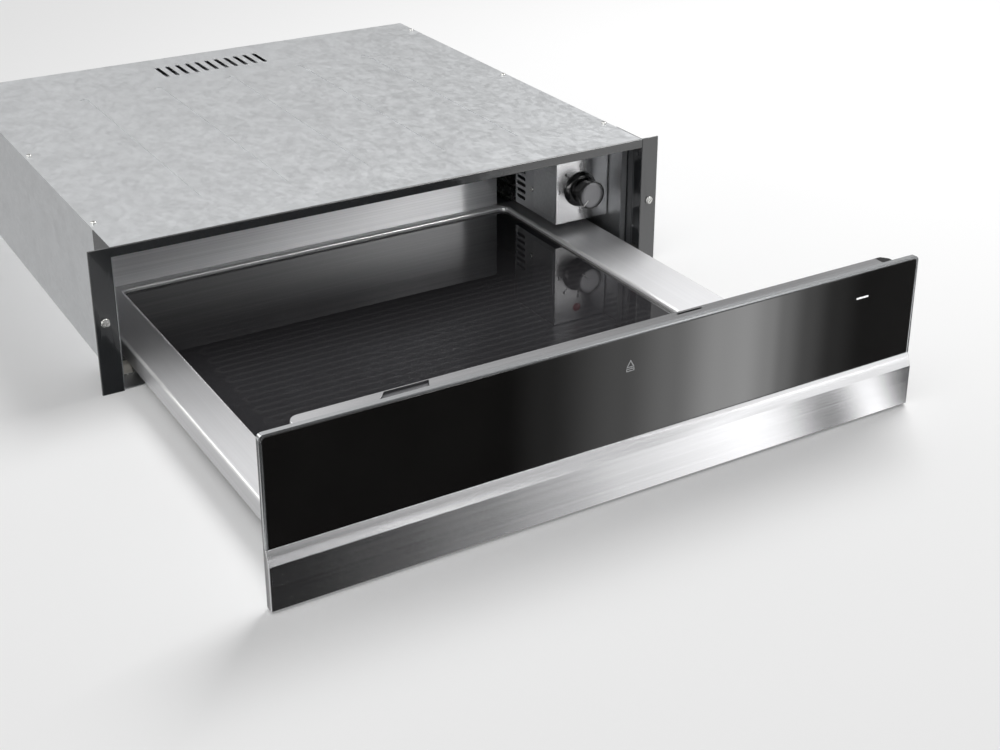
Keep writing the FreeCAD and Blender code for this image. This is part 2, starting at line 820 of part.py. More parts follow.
def right_inner_rail():
    return channel(pan_half, inner_lip, *inner_z, rail_wall, *inner_rail)


def right_rail_bracket():
    """Angle from the base to the outer rail, its foot screwed down outside the rail."""
    path = [(rail_outside, outer_z[1] - bracket_drop), (rail_outside, sheet),
            (rail_outside + bracket_foot, sheet)]
    plate = folded(path, bracket_wall, "xz", outer_rail[0] - bracket_lead, outer_rail[1] - bracket_lead)
    return less(plate, *[hole("xy", x, y, sheet) for x, y in bracket_screws])


def guide_blocks():
    """Plastic blocks on the front ends of the brackets, under the skirts."""
    low = sheet + bracket_wall
    front = outer_rail[0] - bracket_lead
    back = outer_rail[0] + guide_length
    corners = [(front, low), (back, low), (back, skirt_foot - 1.5, 2.0),
               (front + 5.0, skirt_foot - 1.0, 2.5), (front, skirt_foot - 4.0, 1.0)]
    right = prism(corners, "yz", upstand_outside + bend + guide_clearance,
                  wall_inside - lip_width - 2 * guide_clearance)
    return [right, mirrored(right)]


def ball_cage(web, lip, rail_z, front, row_x):
    """Thin C-shaped strip inside a rail, with two rows of balls in round pockets."""
    rail_gap = rail_wall + (ball_gap - cage_wall) / 2
    low, high = rail_z[0] + rail_gap, rail_z[1] - rail_gap
    strip = channel(web, lip, low, high, cage_wall, front, front + cage_length)
    balls = []
    pockets = []
    for step in spread(balls_in_row, ball_pitch):
        for height in (low + cage_wall / 2, high - cage_wall / 2):
            place = front + cage_length / 2 + step
            balls.append(Part.makeSphere(ball_diameter / 2, Vector(row_x, place, height)))
            pockets.append(rod("xy", row_x, place, ball_diameter + 2 * ball_pocket_gap,
                               height - overcut, height + overcut))
    return [less(strip, *pockets)] + balls


def right_outer_cage():
    return ball_cage(outer_cage_web, lip_end + cage_wall, outer_z, outer_cage_front,
                     (lip_end + middle_web) / 2)


def right_inner_cage():
    return ball_cage(inner_cage_web, lip_end + cage_wall, middle_z, inner_cage_front,
                     (lip_end + inner_lip) / 2)


def side_edges(half, height):
    """Test for the long edges of the deck's bends."""
    return lambda box: close(box.ZMin, height) and close(abs(box.XMin), half) and box.YLength > deck_rear


def tray_deck():
    """Folded deck with skirts all round and a recess with a shelf for the heated plate."""
    outside = block(-deck_half, deck_half, front_inner, deck_end, skirt_foot, deck_height)
    outside = rounded(outside, deck_bend, side_edges(deck_half, deck_height))
    inside = block(-skirt_inside, skirt_inside, front_inner + sheet, deck_end - sheet,
                   skirt_foot - overcut, deck_under)
    inside = rounded(inside, deck_bend - sheet, side_edges(skirt_inside, deck_under))
    opening = recess_outline(0)
    recess = less(prism(recess_outline(sheet), "xy", shelf_height, deck_height),
                  prism(opening, "xy", shelf_height + sheet, deck_height + overcut),
                  prism(recess_outline(-shelf_width), "xy", shelf_height - overcut, deck_height))
    shell = less(outside, inside, prism(opening, "xy", deck_under - overcut, deck_height + overcut))
    deck = joined(shell, recess)
    deck = rounded(deck, recess_edge - sheet, round_recess(deck_under, sheet))
    deck = rounded(deck, recess_edge, round_recess(deck_height, 0))
    holes = [hole("xz", x, z, front_inner, 4 * sheet) for x, z in front_screws]
    holes += [hole("xz", x, z, deck_end, 4 * sheet) for x, z in rear_rivets]
    rail_way = block(pan_half, skirt_inside, deck_end - sheet - overcut, deck_end + overcut,
                     skirt_foot - overcut, deck_under)
    return less(deck, rail_way, mirrored(rail_way), *holes)


def round_recess(height, grow):
    """Test for the edges at this height that lie within the recess's outline, grown all round."""
    near = grow + overcut
    return lambda box: (close(box.ZMin, height) and close(box.ZMax, height)
                        and box.XMin > recess_left - near and box.XMax < recess_right + near
                        and box.YMin > recess_front - near and box.YMax < recess_end + near)


def recess_outline(grow):
    """Outline of the recess in the deck, grown all round."""
    radius = max(recess_radius + grow, shelf_corner)
    return rectangle(recess_left - grow, recess_right + grow, recess_front - grow, recess_end + grow, radius)


def tray_pan():
    front, back = front_inner + pan_front, deck_end - sheet - pan_rear
    outside = block(-pan_half, pan_half, front, back, pan_foot, deck_under)
    outside = rounded(outside, pan_edge, lambda box: close(box.ZMax, pan_foot))
    pan = less(outside, block(-pan_half + sheet, pan_half - sheet, front + sheet, back - sheet,
                              pan_foot + sheet, deck_height))
    flange = block(pan_half - pan_flange, pan_half, front, back, deck_under - sheet, deck_under)
    return joined(pan, flange, mirrored(flange))


def heated_plate():
    plate = prism(recess_outline(-plate_joint), "xy", plate_under, plate_top)
    return rounded(plate, plate_edge, lambda box: close(box.ZMin, plate_top))


def plate_seal():
    low = shelf_height + sheet
    return less(prism(recess_outline(0), "xy", low, plate_top - seal_drop),
                prism(recess_outline(-plate_joint), "xy", plate_under, deck_height),
                prism(recess_outline(sheet - shelf_width), "xy", low - overcut, deck_height))


def heater_element():
    """Flat band that runs to and fro under the plate, with round turns."""
    half = heater_band / 2
    turn = heater_pitch / 2
    left, right = recess_left + heater_margin + turn, recess_right - heater_margin - turn
    first = recess_front + heater_end_margin
    runs = int((recess_end - heater_end_margin - first) // heater_pitch) + 1
    bands = []
    for index in range(runs):
        y = first + index * heater_pitch
        bands.append(block(left, right, y - half, y + half, heater_foot, plate_under))
        if index == runs - 1:
            continue
        at_right = index % 2 == 0
        x = right if at_right else left
        middle = y + turn
        ring = rod("xy", x, middle, 2 * (turn + half), heater_foot, plate_under)
        eye = rod("xy", x, middle, 2 * (turn - half), heater_foot - overcut, plate_under + overcut)
        reach = heater_pitch if at_right else -heater_pitch
        side = block(min(x, x + reach), max(x, x + reach), middle - heater_pitch, middle + heater_pitch,
                     heater_foot, plate_under)
        bands.append(less(ring, eye).common(side))
    return bands[0].multiFuse(bands[1:]).removeSplitter()


def insulation_board():
    """Board on the pan's floor, cut round the deck's shelf and the limiter."""
    board = block(-pan_half + board_gap, recess_right + sheet, front_inner + pan_front + board_gap,
                  recess_end + sheet, pan_foot + sheet, heater_foot)
    shelf_room = less(prism(recess_outline(2 * sheet), "xy", shelf_height, deck_height),
                      prism(recess_outline(-shelf_width - shelf_clearance), "xy",
                            shelf_height - overcut, deck_height + overcut))
    pocket = rod("xy", limiter_x, limiter_y, limiter_pocket, pan_foot + sheet + board_gap,
                 heater_foot + overcut)
    return less(board, pocket, shelf_room)


def temperature_limiter():
    foot = heater_foot - limiter_depth
    body = rod("xy", limiter_x, limiter_y, limiter_diameter, foot, heater_foot)
    body = rounded(body, 1.0, lambda box: close(box.ZMax, foot))
    _, _, blade_thick = blade_size
    flange = rod("xy", limiter_x, limiter_y, limiter_flange, heater_foot - blade_thick, heater_foot)
    blades = [bar(limiter_x + shift, foot - blade_grip, 5 * blade_thick, 4 * blade_grip,
                  limiter_y - blade_thick / 2, limiter_y + blade_thick / 2)
              for shift in spread(2, limiter_diameter * 0.6)]
    return joined(body, flange, *blades)


def heater_terminals():
    """Terminal block on the pan's floor, to the right of the recess."""
    centre = (recess_right + pan_half) / 2
    y = deck_end - terminals_inset
    low = pan_foot + sheet
    half_width, half_length = terminals_width / 2, terminals_length / 2
    body = block(centre - half_width, centre + half_width, y - half_length, y + half_length,
                 low, low + terminals_height)
    wire_z = low + terminals_height / 2
    entries = [rod("xz", centre + shift, wire_z, 5.0, y - half_length - overcut, y + half_length + overcut)
               for shift in spread(2, half_width)]
    clamps = [rod("xy", centre + shift, y + step, 4.0, wire_z, low + terminals_height + overcut)
              for shift in spread(2, half_width) for step in spread(2, half_length)]
    return less(body, *entries, *clamps)


def rear_panel():
    """Upright panel behind the deck, hemmed at its top and sides."""
    top = rear_height
    corners = [(-pan_half, skirt_foot), (pan_half, skirt_foot), (pan_half, deck_height),
               (rear_panel_right, deck_height), (rear_panel_right, top, rear_corner),
               (-deck_half, top, rear_corner), (-deck_half, deck_height), (-pan_half, deck_height)]
    plate = prism(corners, "xz", deck_end, rear_panel_back)
    front, back = rear_panel_back - sheet / 2, rear_panel_back + rear_hem
    hem = block(-deck_half + rear_corner, rear_panel_right - rear_corner, front, back, top - sheet, top)
    sides = [block(left, left + sheet, front, back, deck_height, top - rear_corner)
             for left in (-deck_half, rear_panel_right - sheet)]
    holes = [hole("xz", x, z, deck_end, 4 * sheet) for x, z in rear_rivets]
    return less(joined(plate, hem, *sides), *holes)


def rivets():
    inner, outer = deck_end - sheet, rear_panel_back
    return [joined(rod("xz", x, z, screw_shank, inner - rivet_head_height, outer + rivet_head_height),
                   rod("xz", x, z, screw_head, inner - rivet_head_height, inner),
                   rod("xz", x, z, screw_head, outer, outer + rivet_head_height))
            for x, z in rear_rivets]


def latch_striker():
    wide, tall, thick = striker_size
    low, high = latch_middle - tall / 2, latch_middle + tall / 2
    corners = rectangle(-wide / 2, wide / 2, low, high, striker_radius)
    return prism(corners, "xz", rear_panel_back, rear_panel_back + thick)


def inner_front_panel():
    """Hollow panel behind the front, with a grip slot and a vent slot in its top."""
    shape = [(inner_left, front_join), (inner_right, front_join), (inner_right, front_inner),
             (inner_left, front_inner, inner_radius)]
    hollow = [(inner_left + sheet, front_join - overcut), (inner_right - sheet, front_join - overcut),
              (inner_right - sheet, front_inner - sheet),
              (inner_left + sheet, front_inner - sheet, inner_radius - sheet)]
    panel = less(prism(shape, "xy", inner_foot, inner_top),
                 prism(hollow, "xy", inner_foot + sheet, inner_top - sheet))
    panel = rounded(panel, inner_edge, lambda box: close(box.ZMin, inner_top)
                    and close(box.YMax, front_inner) and box.XLength > 2 * inner_radius)
    floor, top = inner_top - 3 * sheet, inner_top + overcut
    grip_left = inner_left + grip_slot_inset
    grip_right = grip_left + grip_slot_length
    grip_front, grip_back = front_join + grip_slot_margin, front_inner - grip_slot_margin
    grip = prism([(grip_left, grip_front), (grip_right, grip_front),
                  (grip_right + grip_slot_slant[1], grip_back), (grip_left + grip_slot_slant[0], grip_back)],
                 "xy", floor, top)
    small_y = (front_inner + front_join + small_slot_size[1] + 1.0) / 2
    small = slot("xy", small_slot_place, small_y, *small_slot_size, floor, top)
    holes = [hole("xz", x, z, front_inner, 4 * sheet) for x, z in front_screws]
    return less(panel, grip, small, *holes)


def right_end_cap():
    left, right = inner_right, inner_right + cap_width
    shape = [(left, front_join), (right, front_join), (right, front_inner - cap_chamfer, cap_edge),
             (right - cap_chamfer * 0.8, front_inner, cap_edge), (left, front_inner)]
    cap = prism(shape, "xy", cap_foot, inner_top)
    return rounded(cap, inner_edge, lambda box: close(box.ZMin, inner_top)
                   and box.YMax > front_join + overcut and box.XMax > left + overcut)


def front_frame():
    """Backing plate of the front, with a light metal rim round the glass."""
    plate = prism([(-front_half, front_foot, 1.0), (front_half, front_foot, 1.0),
                   (front_half, front_height, rim_radius), (-front_half, front_height, rim_radius)],
                  "xz", pane_back, front_join)
    edge = prism(front_outline(0, steel_top), "xz", pane_face, pane_back)
    inside = front_outline(rim, steel_top - overcut)
    edge = less(edge, prism(inside, "xz", pane_face - overcut, pane_back + overcut))
    window = bar(light_place, light_height, *light_window, pane_back - overcut, front_join + overcut)
    return less(joined(plate, edge), window)


def front_outline(inset, foot):
    """Upper part of the front, drawn in from its edge, with rounded top corners."""
    half, top = front_half - inset, front_height - inset
    radius = rim_radius - inset / 2
    return [(-half, foot), (half, foot), (half, top, radius), (-half, top, radius)]


def front_glass():
    pane = prism(front_outline(rim + pane_gap, steel_top + pane_joint), "xz", pane_face, pane_back)
    return rounded(pane, pane_edge, lambda box: close(box.YMax, pane_face))


def steel_panel():
    """Hollow folded panel across the foot of the front, with a bevel up to the glass."""
    fold = steel_top - bevel_drop
    shape = [(pane_back, steel_top), (pane_face, steel_top, 0.4), (steel_face, fold, 1.0),
             (steel_face, front_foot, 2.0), (pane_back, front_foot)]
    hollow = [(pane_back + overcut, steel_top - sheet), (pane_face + 0.7 * sheet, steel_top - sheet),
              (steel_face + sheet, fold - 0.3 * sheet), (steel_face + sheet, front_foot + sheet, 1.0),
              (pane_back + overcut, front_foot + sheet)]
    panel = less(prism(shape, "yz", -front_half, front_half),
                 prism(hollow, "yz", -front_half + sheet, front_half - sheet))
    return rounded(panel, 0.4, lambda box: close(box.YMin, steel_face) and close(box.YMax, steel_face)
                   and close(abs(box.XMin), front_half) and box.ZLength > 10 * sheet)


def light_guide():
    """Milky bar that shows through the frame's window, on a foot behind it."""
    foot_wide, foot_tall, foot_deep = light_block
    front = slot("xz", light_place, light_height, *light_size, pane_back, front_join + foot_deep)
    foot = bar(light_place, light_height, foot_wide, foot_tall, front_join, front_join + foot_deep)
    return joined(front, foot)


def light_board():
    wide, tall, thick = light_board_size
    socket_wide, socket_tall, socket_deep = light_socket_size
    front = front_join + light_block[2]
    board = bar(light_place, light_height, wide, tall, front, front + thick)
    socket = bar(light_place, light_height - tall / 4, socket_wide, socket_tall,
                 front + thick, front + thick + socket_deep)
    return joined(board, socket)


def inner_screws():
    return [screw("xz", x, z, front_inner + sheet, 1.5 * short_screw, 1) for x, z in front_screws]


def rubber_buffers():
    height = strip_foot + strip_height / 2
    face = front_inner + shut_gap - overcut
    disc = rod("xz", inner_right - buffer_inset, height, buffer_diameter, front_inner, face)
    disc = rounded(disc, 0.6, lambda box: close(box.YMin, face))
    return [disc, mirrored(disc)]


def latch_body():
    body = bar(0, latch_middle, latch_width, latch_height, latch_face, back_inside)
    body = rounded(body, latch_edge, lambda box: box.YLength > latch_travel)
    bore = rod("xz", 0, latch_middle, plunger_diameter + 2 * plunger_clearance,
               latch_face - overcut, back_inside - sheet)
    holes = [rod("xz", x, z, screw_shank + hole_clearance,
                 back_inside - 2 * short_screw, back_inside + overcut) for x, z in latch_screws]
    return less(body, bore, *holes)


def latch_plunger():
    plunger = rod("xz", 0, latch_middle, plunger_diameter, plunger_tip, plunger_tip + plunger_length)
    return rounded(plunger, plunger_edge, lambda box: close(box.YMax, plunger_tip))


def latch_spring():
    """Coil at its pressed length, so that it clears the plunger over the whole travel."""
    start = plunger_tip + plunger_length + latch_travel + spring_gap + spring_wire / 2
    end = back_inside - sheet - spring_wire / 2
    radius = plunger_diameter / 2 - 1.0
    turns = min(spring_turns, (end - start) / (spring_wire + coil_gap))
    helix = Part.makeHelix((end - start) / turns, end - start, radius)
    section = Part.Wire([Part.makeCircle(spring_wire / 2, Vector(radius, 0, 0), Vector(0, 1, 0))])
    coil = Part.Wire(helix.Edges).makePipeShell([section], True, True)
    coil.rotate(Vector(0, 0, 0), Vector(1, 0, 0), -90)
    coil.translate(Vector(0, start, latch_middle))
    return coil


# Share of the drawer's opening that each group of pieces follows
fixed, quarter, half_way, three_quarters, whole = 0.0, 0.25, 0.5, 0.75, 1.0

pieces = [
    ("casing_base", casing_base, fixed),
    ("casing_top", casing_top, fixed),
    ("casing_back", casing_back, fixed),
    ("ceiling_plate", ceiling_plate, fixed),
    ("top_strip", top_strip, fixed),
    ("casing_screws", casing_screws, fixed),
    ("cable_gland", cable_gland, fixed),
    ("gland_nut", gland_nut, fixed),
    ("terminal_block", terminal_block, fixed),
    ("control_box", control_box, fixed),
    ("control_panel", control_panel, fixed),
    ("blank_plate", blank_plate, fixed),
    ("control_screws", control_screws, fixed),
    ("energy_regulator", energy_regulator, fixed),
    ("indicator_lens", indicator_lens, fixed),
    ("lamp_holder", lamp_holder, fixed),
    ("latch_body", latch_body, fixed),
    ("latch_spring", latch_spring, fixed),
    ("guide_blocks", guide_blocks, fixed),
    ("latch_plunger", latch_plunger, fixed),
    ("regulator_shaft", regulator_shaft, fixed),
    ("knob_body", knob_body, fixed),
    ("knob_cap", knob_cap, fixed),
    ("knob_pointer", knob_pointer, fixed),
    ("tray_deck", tray_deck, whole),
    ("tray_pan", tray_pan, whole),
    ("heated_plate", heated_plate, whole),
    ("plate_seal", plate_seal, whole),
    ("heater_element", heater_element, whole),
    ("insulation_board", insulation_board, whole),
    ("temperature_limiter", temperature_limiter, whole),
    ("heater_terminals", heater_terminals, whole),
    ("rear_panel", rear_panel, whole),
    ("rear_rivets", rivets, whole),
    ("latch_striker", latch_striker, whole),
    ("inner_front_panel", inner_front_panel, whole),
    ("right_end_cap", right_end_cap, whole),
    ("front_frame", front_frame, whole),
    ("front_glass", front_glass, whole),
    ("steel_panel", steel_panel, whole),
    ("light_guide", light_guide, whole),
    ("light_board", light_board, whole),
    ("front_screws", inner_screws, whole),
    ("rubber_buffers", rubber_buffers, whole),
]

# Drawn for the right side and mirrored for the left
pairs = [
    ("side_wall", right_side_wall, fixed),
    ("flange", right_flange, fixed),
    ("rail_bracket", right_rail_bracket, fixed),
    ("outer_rail", right_outer_rail, fixed),
    ("outer_cage", right_outer_cage, quarter),
    ("middle_rail", right_middle_rail, half_way),
    ("inner_cage", right_inner_cage, three_quarters),
    ("inner_rail", right_inner_rail, whole),
]


def save(name, shapes, share):
    group = Part.makeCompound([solid for shape in shapes for solid in shape.Solids])
    group.translate(Vector(0, -share * rest_opening, 0))
    single = group.Solids[0] if len(group.Solids) == 1 else group
    single.exportStep("parts/" + name + ".step")
    state = "valid" if group.isValid() else "NOT VALID"
    print(name, len(group.Solids), "solids", round(group.Volume), "mm3", state)


def built(piece):
    """The piece's shapes as a list, whether it is one shape or a group."""
    result = piece()
    return result if isinstance(result, list) else [result]


os.makedirs("parts", exist_ok=True)
for name, piece, share in pieces:
    save(name, built(piece), share)
for name, piece, share in pairs:
    shapes = built(piece)
    save("right_" + name, shapes, share)
    save("left_" + name, [mirrored(shape) for shape in shapes], share)
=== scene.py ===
# %% [markdown]
# # A built-in warming drawer, from frame to finish
#
# This lesson dresses a warming drawer whose sheet metal, runners and joints already exist as exact
# CAD nodes. It stands open by 350 mm: a low steel tray with a black heated glass plate, a tall
# front of dark glass over a steel panel, and a small control box that hangs inside the opening.
#
# The exact nodes are loaded first. They are never moved or reshaped, so everything that is added
# here finds its place from them.

# %% Load the exact nodes
import math

import bmesh
import bpy
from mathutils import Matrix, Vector


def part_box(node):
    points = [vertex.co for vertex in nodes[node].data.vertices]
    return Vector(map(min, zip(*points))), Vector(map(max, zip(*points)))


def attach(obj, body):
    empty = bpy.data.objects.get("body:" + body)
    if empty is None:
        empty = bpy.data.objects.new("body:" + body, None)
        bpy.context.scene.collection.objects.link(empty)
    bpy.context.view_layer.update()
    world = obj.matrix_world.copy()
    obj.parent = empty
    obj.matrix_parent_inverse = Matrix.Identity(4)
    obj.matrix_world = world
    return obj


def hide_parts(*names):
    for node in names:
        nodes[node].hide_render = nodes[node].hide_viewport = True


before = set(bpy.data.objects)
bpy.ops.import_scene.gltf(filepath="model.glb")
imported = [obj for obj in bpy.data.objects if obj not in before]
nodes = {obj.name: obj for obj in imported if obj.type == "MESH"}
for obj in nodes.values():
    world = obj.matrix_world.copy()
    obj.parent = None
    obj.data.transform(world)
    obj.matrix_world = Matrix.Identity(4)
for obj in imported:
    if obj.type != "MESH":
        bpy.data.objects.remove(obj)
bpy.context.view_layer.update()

# %% [markdown]
# Loading leaves the nodes selected, and an operator works on everything that is selected. So the
# first thing is to let go of them. Sizes are thought of in millimetres here, and `mm` turns them
# into Blender's metres.

# %% Units and a clean selection
mm = 0.001


def let_go():
    """Leave edit mode and deselect everything, so that an operator touches only what it adds."""
    if bpy.context.object and bpy.context.object.mode == "EDIT":
        bpy.ops.object.mode_set(mode="OBJECT")
    bpy.ops.object.select_all(action="DESELECT")
    bpy.context.view_layer.objects.active = None


let_go()
print("selected:", len(bpy.context.selected_objects))

# %% [markdown]
# ## The camera
#
# A product photo like this one is taken from the front left, by someone who looks down into the
# open drawer. Lines that are parallel on the real thing tell the lens and the place: the front's
# four corners and the casing's mounting flanges were matched to the picture, and the lens and
# place below are what fitted.

# %% Camera
camera_place = Vector((-629.5, -1242.1, 662.4)) * mm
camera_yaw = math.radians(30.77)
camera_pitch = math.radians(23.12)

camera_data = bpy.data.cameras.new("camera")
camera_data.sensor_width = 36.0
camera_data.lens = 57.22
camera_data.shift_y = -0.12
camera_data.clip_start = 0.01
camera = bpy.data.objects.new("camera", camera_data)
bpy.context.scene.collection.objects.link(camera)
camera.location = camera_place
camera.rotation_euler = (math.pi / 2 - camera_pitch, 0.0, -camera_yaw)
bpy.context.scene.camera = camera
bpy.context.scene.view_settings.view_transform = "Standard"
print("camera looks", [round(math.degrees(v), 1) for v in camera.rotation_euler])

# %% [markdown]
# ## Shader maths as plain expressions
#
# Materials are built from many small sums, and a web of Math nodes is hard to read in code. One
# class wraps an output socket, so that `1 - mask` or `streaks * 0.1 + 0.3` adds the Math nodes by
# itself. A vector or a colour goes through Vector Math instead, which keeps its three numbers
# apart. Every other node comes from the `node` method: the type first, then the sockets, then the
# settings.

# %% The socket class
class Signal:
    """An output socket of a node tree. Arithmetic on it adds Math nodes to that tree."""

    def __init__(self, tree, socket=None):
        self.tree = tree
        self.socket = socket

    def node(self, kind, sockets=None, output=0, stops=None, **settings):
        """Add a node of this kind, with its settings, its ramp stops and what its sockets get."""
        made = self.tree.nodes.new("ShaderNode" + kind)
        for setting, value in settings.items():
            setattr(made, setting, value)
        if stops:
            ramp = made.color_ramp
            ramp.interpolation = "EASE"
            for number, (place, level) in enumerate(stops):
                stop = ramp.elements[number] if number < 2 else ramp.elements.new(place)
                stop.position = place
                stop.color = (level, level, level, 1.0)
        for name, value in (sockets or {}).items():
            self.plug(value, made.inputs[name])
        return Signal(self.tree, made.outputs[output] if len(made.outputs) else None)

    def plug(self, value, target):
        """Give an input socket a link or a plain value."""
        if isinstance(value, Signal):
            self.tree.links.new(value.socket, target)
        elif target.type == "RGBA":
            target.default_value = (*value, 1.0)
        else:
            target.default_value = value

    def math(self, operation, first, *others):
        """One Math node, or one Vector Math node if a vector or a colour takes part."""
        values = (first, *others)
        kinds = {v.socket.type if isinstance(v, Signal) else type(v) for v in values}
        plain = kinds <= {"VALUE", int, float}
        node_kind = "Math" if plain else "VectorMath"
        return self.node(node_kind, dict(enumerate(values)), operation=operation)

    def __add__(self, other):
        return self.math("ADD", self, other)

    def __sub__(self, other):
        return self.math("SUBTRACT", self, other)

    def __rsub__(self, other):
        return self.math("SUBTRACT", other, self)

    def __mul__(self, other):
        return self.math("MULTIPLY", self, other)

    def __rmul__(self, other):
        return self.math("MULTIPLY", other, self)

    def __truediv__(self, other):
        return self.math("DIVIDE", self, other)

    def __pow__(self, power):
        return self.math("POWER", self, power)

    def __abs__(self):
        return self.math("ABSOLUTE", self)

    def at_least(self, other):
        return self.math("MAXIMUM", self, other)

    def fraction(self):
        return self.math("FRACT", self)

    def step(self, low, high):
        """Rise smoothly from 0 at low to 1 at high."""
        sockets = {0: self, 1: low, 2: high, 3: 0.0, 4: 1.0}
        return self.node("MapRange", sockets, interpolation_type="SMOOTHSTEP")

    def band(self, lower_edge, upper_edge):
        """Be 1 between two soft edges. Each edge is the pair of values where it begins and ends."""
        return self.step(*lower_edge) * (1 - self.step(*upper_edge))

    def mix(self, first, second):
        """Go from the first colour to the second as this signal goes from 0 to 1."""
        return self.node("Mix", {0: self, 6: first, 7: second}, output=2, data_type="RGBA")

    def blend(self, first, second):
        """Go from the first number to the second as this signal goes from 0 to 1."""
        return first * (1 - self) + second * self

    def axes(self):
        """Split a vector into its x, y and z."""
        split = self.node("SeparateXYZ", {0: self}).socket.node
        return [Signal(self.tree, socket) for socket in split.outputs]


print("socket class ready")

# %% [markdown]
# A finish is one material with one Principled shader. Numbers that are the same all over the
# surface are set on the shader's own sockets, and only what changes over the surface is linked.
# Patterns read Object coordinates, which on these nodes are the drawer's own metres, so a scale is
# a real size.
#
# No real surface has one even colour. So every finish has a pattern that darkens it a little here
# and there, and for most it also moves the roughness. The method `vary` does both.

# %% The finish class
finishes = {}


class Finish:
    """One material: constants on the shader's sockets, and signals for what changes."""

    def __init__(self, name, constants):
        material = bpy.data.materials.new(name)
        material.use_nodes = True
        self.shader = material.node_tree.nodes["Principled BSDF"]
        self.graph = Signal(material.node_tree)
        self.place = self.graph.node("TexCoord", output=3)
        self.set(constants)
        finishes[name] = material

    def set(self, values):
        """Give shader sockets a plain value or a signal, by their names."""
        for name, value in values.items():
            self.graph.plug(value, self.shader.inputs[name])

    def noise(self, waves, detail=2.0):
        """Soft noise with so many waves in a metre: one number, or one each along x, y and z."""
        scale = waves if isinstance(waves, tuple) else (waves, waves, waves)
        place = self.graph.node("Mapping", {"Vector": self.place, "Scale": scale})
        return self.graph.node("TexNoise", {"Vector": place, "Scale": 1.0, "Detail": detail})

    def vary(self, pattern, colour, shade, roughness=None, spread=0.0):
        """Shade the colour where the pattern is low, and let the roughness follow the pattern."""
        tone = pattern.step(0.3, 0.7)
        self.set({"Base Color": tone.mix([c * shade for c in colour], colour)})
        if roughness is not None:
            self.set({"Roughness": pattern * spread + (roughness - spread / 2)})

    def bump(self, height, depth, strength=1.0):
        """Raise the surface by a signal from 0 to 1, times a depth in metres."""
        sockets = {"Height": height, "Distance": depth, "Strength": strength}
        self.set({"Normal": self.graph.node("Bump", sockets)})


print("finish class ready")

# %% [markdown]
# ## Brushed steel
#
# Stainless sheet is ground with a belt that runs one way, so it is full of fine parallel
# scratches. They smear a reflection across the scratches and keep it sharp along them, which is
# why the steel shows tall soft bands. The shader's anisotropy makes that smear on upright faces.
# On the flat tray it would turn round the middle of the object, so there a plain soft gloss is
# used. Over it lie the scratches: long thin noise, with a few waves in a metre along the belt and
# hundreds across it.
#
# Each panel is its own sheet. The front is ground fine, the inside coarser. Round the recess the
# tray's sheet is folded over a radius, and the fold shows as a pale line of light. That line is a
# painted highlight: a tilted normal finds the fold, and it gets a paler, less metallic colour under
# a glossy coat.

# %% Brushed steel
def brushed(name, colour, roughness, smear, scratch=0.05, bite=0.25, along="x", metal=1.0,
            fold_highlight_colour=None):
    """Steel that is brushed along x or y, and along y on faces that look sideways."""
    steel = Finish(name, {"Metallic": metal, "Anisotropic": smear, "Anisotropic Rotation": 0.25})
    normal_x, _, normal_z = steel.graph.node("NewGeometry", output=1).axes()

    def grain(slow, fast):
        """Long thin noise, with slow waves along the belt and fast waves across it."""
        along_y = steel.noise((fast, slow, fast), detail=3.0)
        if along == "y":
            return along_y
        sideways = abs(normal_x).step(0.6, 0.8)
        return sideways.blend(steel.noise((slow, fast, fast), detail=3.0), along_y)

    scratches = grain(3.0, 1300.0)
    bands = grain(1.2, 170.0)
    clouds = steel.noise(12.0, detail=3.0)
    tone = (scratches * 0.5 + bands * 0.35 + clouds * 0.15).step(0.3, 0.7)
    sheet = tone.mix([c * (1 - scratch) for c in colour], [c * (1 + scratch) for c in colour])
    # Painted highlight: on the fold a pale, less metallic colour under a coat stands in for the
    # line of light along it.
    if fold_highlight_colour:
        fold_highlight = normal_z.band((0.10, 0.35), (0.94, 0.985))
        fold_highlight_metal = 0.1
        sheet = fold_highlight.mix(sheet, fold_highlight_colour)
        steel.set({"Metallic": metal - fold_highlight * (metal - fold_highlight_metal)})
        steel.set({"Coat Weight": fold_highlight, "Coat IOR": 2.8, "Coat Roughness": 0.15})
    steel.set({"Base Color": sheet})
    steel.set({"Roughness": scratches * 0.08 + clouds * 0.04 + (roughness - 0.06)})
    steel.bump(scratches, 0.01 * mm, bite)


steel_colour = (0.61, 0.61, 0.62)
brushed("front_steel", steel_colour, roughness=0.14, smear=1.0)
brushed("rear_steel", (0.66, 0.66, 0.67), roughness=0.37, smear=1.0, scratch=0.13)
brushed("fascia_steel", (0.68, 0.68, 0.69), roughness=0.24, smear=0.95, bite=0.02)
# The tray's folds get the painted highlight colour.
brushed("tray_steel", steel_colour, roughness=0.42, smear=0.0, along="y", metal=0.6,
        fold_highlight_colour=(0.88, 0.88, 0.88))
brushed("strip_steel", steel_colour, roughness=0.16, smear=0.0)
finishes["brushed_steel"] = finishes["front_steel"]
print("brushed steel, five sheets")

# %% [markdown]
# ## Galvanised and plated steel
#
# The casing is hot-dip galvanised sheet. Zinc freezes in flat crystals a few millimetres wide,
# each of which reflects a little differently. Voronoi cells give such crystals: the colour of a
# cell is one random number, which moves tone and roughness. Noise bends the cells' edges a little,
# so that they look frozen and not cut. Small hardware is bright zinc plated, with no crystals and
# a softer shine.

